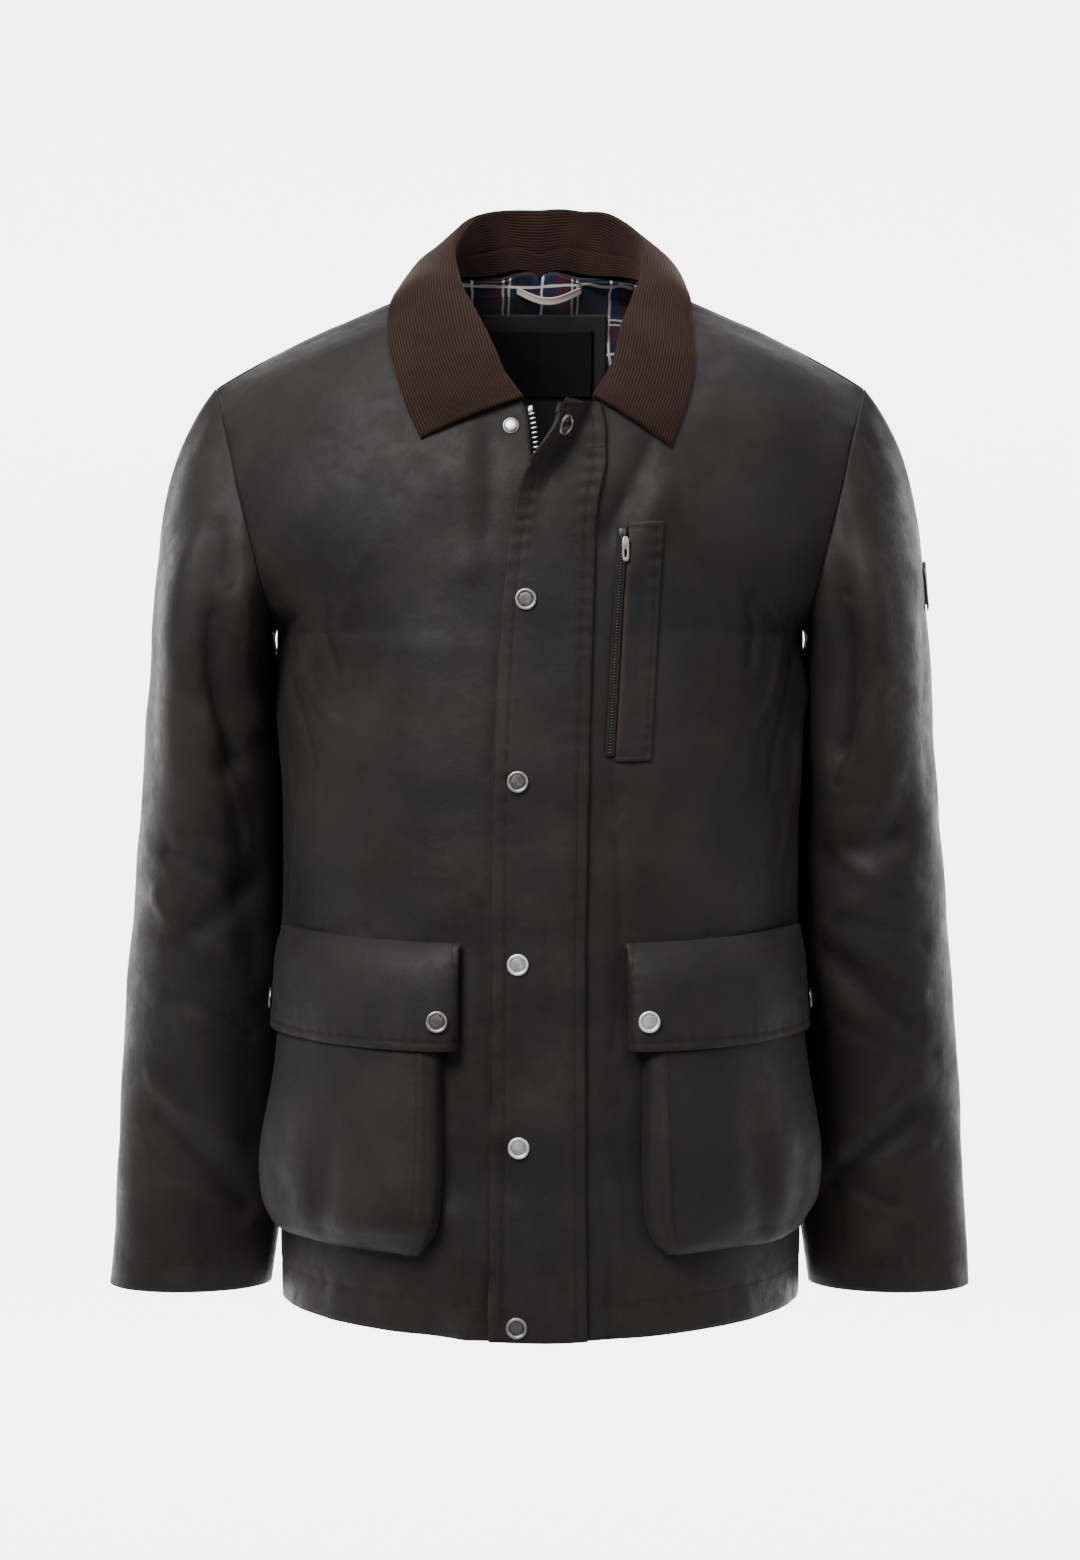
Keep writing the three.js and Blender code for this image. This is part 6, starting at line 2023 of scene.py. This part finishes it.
@dataclass
class FlapPocket:
    """A patch pocket with a bellows side and a flap held by two snaps."""

    hand: Hand
    bag_square: float = 0.45
    flap_square: float = 0.6
    # height, middle, slant, width, then where it starts and how fast, and where it ends and how fast
    dents: tuple = (
        (-2.6, 0.42, 0.1, 0.06, 0.25, 5, 0.85, 6),
        (-1.8, 0.70, -0.06, 0.05, 0.2, 4, 0.8, 5),
        (1.4, 0.56, 0.0, 0.07, 0.3, 4, 0.9, 6),
    )
    bag: Rows = Rows("z inner outer depth outerShare", [
        (-460, 0.23, 0.825, 10, 0.55),
        (-500, 0.228, 0.825, 18, 0.55),
        (-550, 0.224, 0.83, 22, 0.7),
        (-600, 0.222, 0.83, 26, 0.9),
        (-636, 0.228, 0.828, 26, 0.9),
        (-652, 0.245, 0.82, 21, 0.85),
        (-661, 0.27, 0.81, 13, 0.8),
        (-665, 0.285, 0.8, 1.5, 0.8),
    ])
    flap: Rows = Rows("z inner outer depth outerShare", [
        (-447, 0.18, 0.845, 2.3, 1),
        (-456, 0.18, 0.845, 11.5, 0.75),
        (-470, 0.18, 0.848, 18.5, 0.65),
        (-500, 0.182, 0.855, 23, 0.62),
        (-521, 0.186, 0.86, 23.5, 0.62),
    ])

    def point(self, rows: Rows, square: float, side_lift: float, u: Array, v: Array) -> Array:
        """A point of the bag or flap: half a ring squared up, standing on the front.

        Across is (1 - cos(pi u) squared up) / 2 and the height goes from the side's to the full depth by
        sin(pi u) squared up.

        Args:
            rows: the table of the bag or the flap.
            square: the power that squares it up.
            side_lift: how far out its sides start.
            u: from the inner to the outer side.
            v: down the rows.

        Returns:
            The points.
        """
        u, v = spread(u, v)
        r = rows.at(v)
        across = (1 - powered(np.cos(math.pi * u), square)) / 2
        side = REST_GAP + np.minimum(side_lift, r["depth"])
        full = REST_GAP + r["depth"] * lerp(1, r["outerShare"], across)
        point, normal = plain_front(self.hand).level(lerp(r["inner"], r["outer"], across), r["z"])
        lift = lerp(side, full, powered(np.sin(math.pi * np.clip(u, 0, 1)), square))
        return point + normal * lift[..., None]

    def even(self, square: float, wide: float, deep: float, count: int) -> Array:
        """Values of u at even steps round a squared half ring of a width and depth."""
        q = np.linspace(-1, 1, 400)
        turn = np.arccos(powered(-q, 1 / square)) / math.pi
        rise = np.arcsin(np.linspace(0, 1, 200) ** (1 / square)) / math.pi
        u = np.unique(np.concatenate([turn, rise, 1 - rise]))
        x = (1 - powered(np.cos(math.pi * u), square)) / 2 * wide
        y = powered(np.sin(math.pi * np.clip(u, 0, 1)), square) * deep
        travelled = np.concatenate([[0], np.cumsum(np.hypot(np.diff(x), np.diff(y)))])
        return np.interp(np.linspace(0, travelled[-1], count), travelled, u)

    def shaped(self, rows: Rows, square: float, side_lift: float, u: Array, v: Array) -> tuple[Array, Array]:
        """Points and ways out, from the cross product of the grid's own differences."""
        grid = self.point(rows, square, side_lift, u[None], v[:, None])
        along = np.gradient(grid, axis=1)
        down = np.gradient(grid, axis=0)
        return grid, unit(np.cross(along, down)) * -self.hand.value

    def build(self) -> None:
        """Makes the bag, the flap, its stitches and its snaps."""
        u = self.even(self.bag_square, 118, 26, 96)
        v = np.linspace(0, self.bag.last, 110)
        grid, normal = self.shaped(self.bag, self.bag_square, 0, u, v)
        across = np.linspace(0, 1, 96)[None]
        down = (v / self.bag.last)[:, None]
        seam = 0.9 * bell((across - 0.155) / 0.008) * smooth((down - 0.1) * 9)
        dents = 1.2 * ripple(across * 165 + 0 * down, down * 210 + 0 * across, 78, 101 + self.hand.value)
        for height, middle, slant, wide, start, rise, end, fall in self.dents:
            part = smooth((down - start) * rise) * smooth((end - down) * fall)
            dents = dents + height * bell((across - middle - slant * down) / wide) * part
        calm = smooth(across * 9) * smooth((1 - across) * 9) * smooth((1 - down) * 7)
        places = raised((grid, normal), dents * calm + seam)
        word = self.hand.word
        wall = Wall.laid(places, 0.0, CLOTH)
        cloth([wall], f"pocket_{word}", (WAXED, SLEEVE_LINING), marks=self.rub)
        self.flap_piece(word)

    @staticmethod
    def rub(wall: Wall) -> dict[str, Array]:
        """Rub on the sides, round the bag's corners and at its rims."""
        rows, columns = wall.outer.shape[:2]
        across, down = np.linspace(0, 1, columns)[None], np.linspace(0, 1, rows)[:, None]
        corner = bell((across - 0.155) / 0.012) + bell((across - 0.86) / 0.02)
        return {"worn": np.clip(0.7 * corner + bell((1 - down) / 0.02), 0, 1)}

    def flap_piece(self, word: str) -> None:
        """The flap, with stitches 6 mm in from its three edges.

        Args:
            word: the side's name.
        """
        u = self.even(self.flap_square, 128, 20, 110)
        v = np.linspace(0, self.flap.last, 64)
        grid, normal = self.shaped(self.flap, self.flap_square, 5, u, v)
        wall = Wall.laid((grid, normal), 0.0, CLOTH)
        arc, fall = wall.arcs()
        side = np.minimum(arc, arc[:, -1:] - arc)
        foot = fall[-1:] - fall
        relief = pucker(side - 6, fall, 111, 0.35) + pucker(foot - 6.5, arc, 113, 0.35)
        relief = relief + 0.4 * ripple(arc, fall, 60, 115)
        edge = np.minimum(side, foot)
        roll = -0.8 * bell(edge / 1.1)
        places = raised((grid, normal), relief)
        wall = Wall.laid(raised(places, roll), 0.0, CLOTH)
        marks = {"worn": bell(edge / 2.2)}
        name = f"pocket_flap_{word}"
        cloth([wall], name, (WAXED, WAXED), marks=marks)
        rows = np.arange(64.0)
        start = np.array([np.interp(6.0, arc[i], np.arange(110)) for i in range(64)])
        end = np.array([np.interp(arc[i, -1] - 6.0, arc[i], np.arange(110)) for i in range(64)])
        last = float(np.interp(6.5, foot[::-1, 55], np.arange(64)[::-1]))
        upto = rows < last
        pick = StormFlap.pick
        sides = [tuple(pick(grid, rows[upto], line[upto]) for grid in places) for line in (start, end)]
        across = np.linspace(start[-1], end[-1], 130)
        base = np.full(130, last)
        sides.append(tuple(pick(grid, base, across) for grid in places))
        STITCH.piece(f"{name}_stitching", sides)
        for key, place, lift in (("inner", 0.2, 0.8), ("outer", 0.84, 0.1)):
            self.snap(f"snap_pocket_{word}_{key}", place, lift)

    def snap(self, name: str, u: float, lift: float) -> None:
        """A snap on the flap, set square to it."""

        def at(across: float, row: float) -> Array:
            """The flap's point at a place across and a row down."""
            return self.point(self.flap, self.flap_square, 5, np.array(across), np.array(row))

        along = at(u + 0.01, 3) - at(u - 0.01, 3)
        down = at(u, 3.01) - at(u, 2.99)
        normal = unit(np.cross(along, down)) * -self.hand.value
        # The left pocket's inner snap takes the brighter nickel, a painted highlight.
        finish = HIGHLIGHT_NICKEL if name == "snap_pocket_left_inner" else NICKEL
        Snaps.press(name, Snaps.cap, at(u, 3), normal, lift, finish)


@dataclass
class NeckInside:
    """What shows inside the back of the neck: lining, facing, label and hanger loop."""

    lining_lift: float = -(CLOTH + REST_GAP)
    facing_lift: float = -(CLOTH + REST_GAP) - TRIM_CLOTH - REST_GAP
    label_lift: float = -(CLOTH + REST_GAP) - 2 * (TRIM_CLOTH + REST_GAP)

    @staticmethod
    def patch(x: tuple[float, float], z: tuple[float, float], columns: int, rows: int) -> tuple[Array, Array]:
        """Places of the back on a grid across and down."""
        across, down = np.meshgrid(np.linspace(*x, columns), np.linspace(*z, rows))
        return back_inside(across, down)

    def build(self) -> None:
        """Makes the four pieces; each lies further in than the one before."""
        halves = []
        for panel in (plain_back(hand) for hand in Hand):
            t = np.linspace(6.5, 11.5, 80)[:, None]
            s = np.linspace(0, 0.7, 60)[None]
            points, normals = panel.place(s, t)
            soft = 0.9 * (ripple(points[..., 0], points[..., 2], 42, 121) - 1) * smooth((s + 0 * t) * 6)
            halves.append(Wall.laid(raised((points, normals), soft), self.lining_lift, TRIM_CLOTH))
        joined = int(np.sum(np.linspace(6.5, 11.5, 80) <= NECK_ROW)) - 1
        cloth(halves, "neck_lining", (CHECK, CHECK), joined_rows=joined)
        places = self.patch((-43, 49), (-17, -150), 50, 70)
        wall = Wall.laid(places, self.facing_lift, TRIM_CLOTH)
        cloth([wall], "neck_facing", (FACING, FACING))
        places = self.patch((-37, 38.6), (-27, -77), 60, 40)
        cloth([Wall.laid(places, self.label_lift, PATCH_CLOTH)], "neck_label", (SATIN, SATIN))
        self.label_stitches()
        self.loop()

    def label_stitches(self) -> None:
        """Stitches round the label, 1.5 mm in from its edge."""
        x = np.array([-35.5, 37.1, 37.1, -35.5, -35.5])
        z = np.array([-28.5, -28.5, -75.5, -75.5, -28.5])
        lines = []
        for k in range(4):
            f = np.linspace(0, 1, 40)
            point, normal = back_inside(lerp(x[k], x[k + 1], f), lerp(z[k], z[k + 1], f))
            lines.append((point + normal * (self.label_lift - PATCH_CLOTH), -normal))
        Stitching(2.2, 1.6, 0.4, 0.3).piece("label_stitching", lines, LABEL_THREAD)

    def loop(self) -> None:
        """The hanger loop: it sags and stands inwards by half sines."""
        f, edge = np.meshgrid(np.linspace(0, 1, 70), np.linspace(-1, 1, 9), indexing="ij")
        sag = np.sin(math.pi * f)
        point, normal = back_inside(lerp(-17, 30, f), 1 - 4 * sag + edge * 2.6)
        lift = self.facing_lift - 9 * sag
        roll = 0.35 * (1 - edge**2)
        wall = Wall.laid((point, normal), lift + roll - 0.3, TRIM_CLOTH - 0.3)
        cloth([wall], "hanger_loop", (WEBBING, WEBBING))


@dataclass
class SleevePatch:
    """A small bare patch on the outer side of the left sleeve."""

    top: float = -194.0
    foot: float = -225.0
    half_turn: float = 15.0

    def build(self, sleeve: Sleeve) -> None:
        """Finds the rows of its heights by halving and lays it on the sleeve.

        Args:
            sleeve: the left sleeve.
        """
        rows = []
        for z in (self.top, self.foot):
            low, high = 0.0, sleeve.end
            for _ in range(24):
                middle = (low + high) / 2
                above = sleeve.plain(np.array(0.0), np.array(middle))[2] > z
                low, high = (middle, high) if above else (low, middle)
            rows.append(low)
        t = np.linspace(*rows, 26)[:, None]
        degrees = np.linspace(-self.half_turn, self.half_turn, 26)[None]
        points, normals = sleeve.place(np.mod(degrees, 360), t, fine=False)
        wall = Wall.laid((points, normals), 0.7 * REST_GAP + PATCH_CLOTH, PATCH_CLOTH)
        cloth([wall], "sleeve_patch", (SATIN, SATIN))
        ring = [(points[1, 1:-1], normals[1, 1:-1]), (points[-2, 1:-1], normals[-2, 1:-1])]
        ring += [(points[1:-1, 1], normals[1:-1, 1]), (points[1:-1, -2], normals[1:-1, -2])]
        lines = [(p + n * (0.7 * REST_GAP + PATCH_CLOTH), n) for p, n in ring]
        Stitching(2.2, 1.6, 0.4, 0.3).piece("sleeve_patch_stitching", lines, LABEL_THREAD)


@dataclass
class Studio:
    """A pale sweep, three soft lamps and the camera."""

    distance: float = 3.3
    pitch: float = 6.0
    aim: float = -0.350
    lens: float = 106.5
    floor: float = -1.6

    def sweep(self) -> None:
        """A floor that curves up into a wall: flat, then a quarter circle, then upright."""
        radius, front, back, top, half = 1.5, -0.7, 3.4, 5.0, 7.0
        turn = np.linspace(0, math.pi / 2, 24)
        y = np.concatenate([[front], back + radius * np.sin(turn), [back + radius]])
        z = np.concatenate([[0], radius * (1 - np.cos(turn)), [top]]) + self.floor
        x = np.linspace(-half, half, 2)
        grid = np.stack([x[None] + 0 * y[:, None], y[:, None] + 0 * x, z[:, None] + 0 * x], -1) / MM
        points, faces = join_grids(grid[None], closed=False)
        obj = make_mesh("paper_sweep", points, faces)
        obj.data.materials.append(PaleStage("pale_paper").material())

    @staticmethod
    def lamp(name: str, place: Sequence[float], aim: Sequence[float], size: float, watts: float) -> None:
        """A square area lamp that looks at a place."""
        light = bpy.data.lights.new(name, "AREA")
        light.size, light.energy = size, watts
        obj = bpy.data.objects.new(name, light)
        obj.location = place
        obj.rotation_euler = (Vector(aim) - Vector(place)).to_track_quat("-Z", "Y").to_euler()
        bpy.context.scene.collection.objects.link(obj)

    def build(self) -> None:
        """Makes the sweep, the lamps, the sky's even light and the camera."""
        self.sweep()
        self.lamp("key", (-1.5, -2.4, 2.1), (0, 0, -0.3), 1.6, 225)
        self.lamp("fill", (2.3, -2.4, 1.5), (0, 0, -0.25), 2.0, 45)
        self.lamp("top", (0.2, 0.2, 2.6), (0, 0, -0.2), 1.8, 60)
        world = bpy.data.worlds.new("studio")
        world.use_nodes = True
        sky = world.node_tree.nodes["Background"]
        sky.inputs["Color"].default_value = (1, 1, 1, 1)
        sky.inputs["Strength"].default_value = 0.3
        bpy.context.scene.world = world
        pitch = math.radians(self.pitch)
        camera = bpy.data.cameras.new("photo_angle")
        camera.lens, camera.sensor_width, camera.sensor_fit = self.lens, 36.0, "AUTO"
        obj = bpy.data.objects.new("photo_angle", camera)
        obj.location = (0, -self.distance * math.cos(pitch), self.aim + self.distance * math.sin(pitch))
        obj.rotation_euler = (math.pi / 2 - pitch, 0, 0)
        bpy.context.scene.collection.objects.link(obj)
        bpy.context.scene.camera = obj


def main() -> None:
    """Builds every sub-assembly in order, then the studio."""
    logging.basicConfig(level=logging.INFO, format="%(name)s %(message)s")
    BodyPanels().build()
    sleeves = {hand: Sleeve(hand) for hand in Hand}
    for sleeve in sleeves.values():
        sleeve.build()
    Collar().build()
    flap = StormFlap()
    flap.build()
    FrontZip().build()
    ChestPocket().build()
    Snaps().build(flap)
    for hand in Hand:
        FlapPocket(hand).build()
    NeckInside().build()
    SleevePatch().build(sleeves[Hand.LEFT])
    Studio().build()


if __name__ == "__main__":
    main()
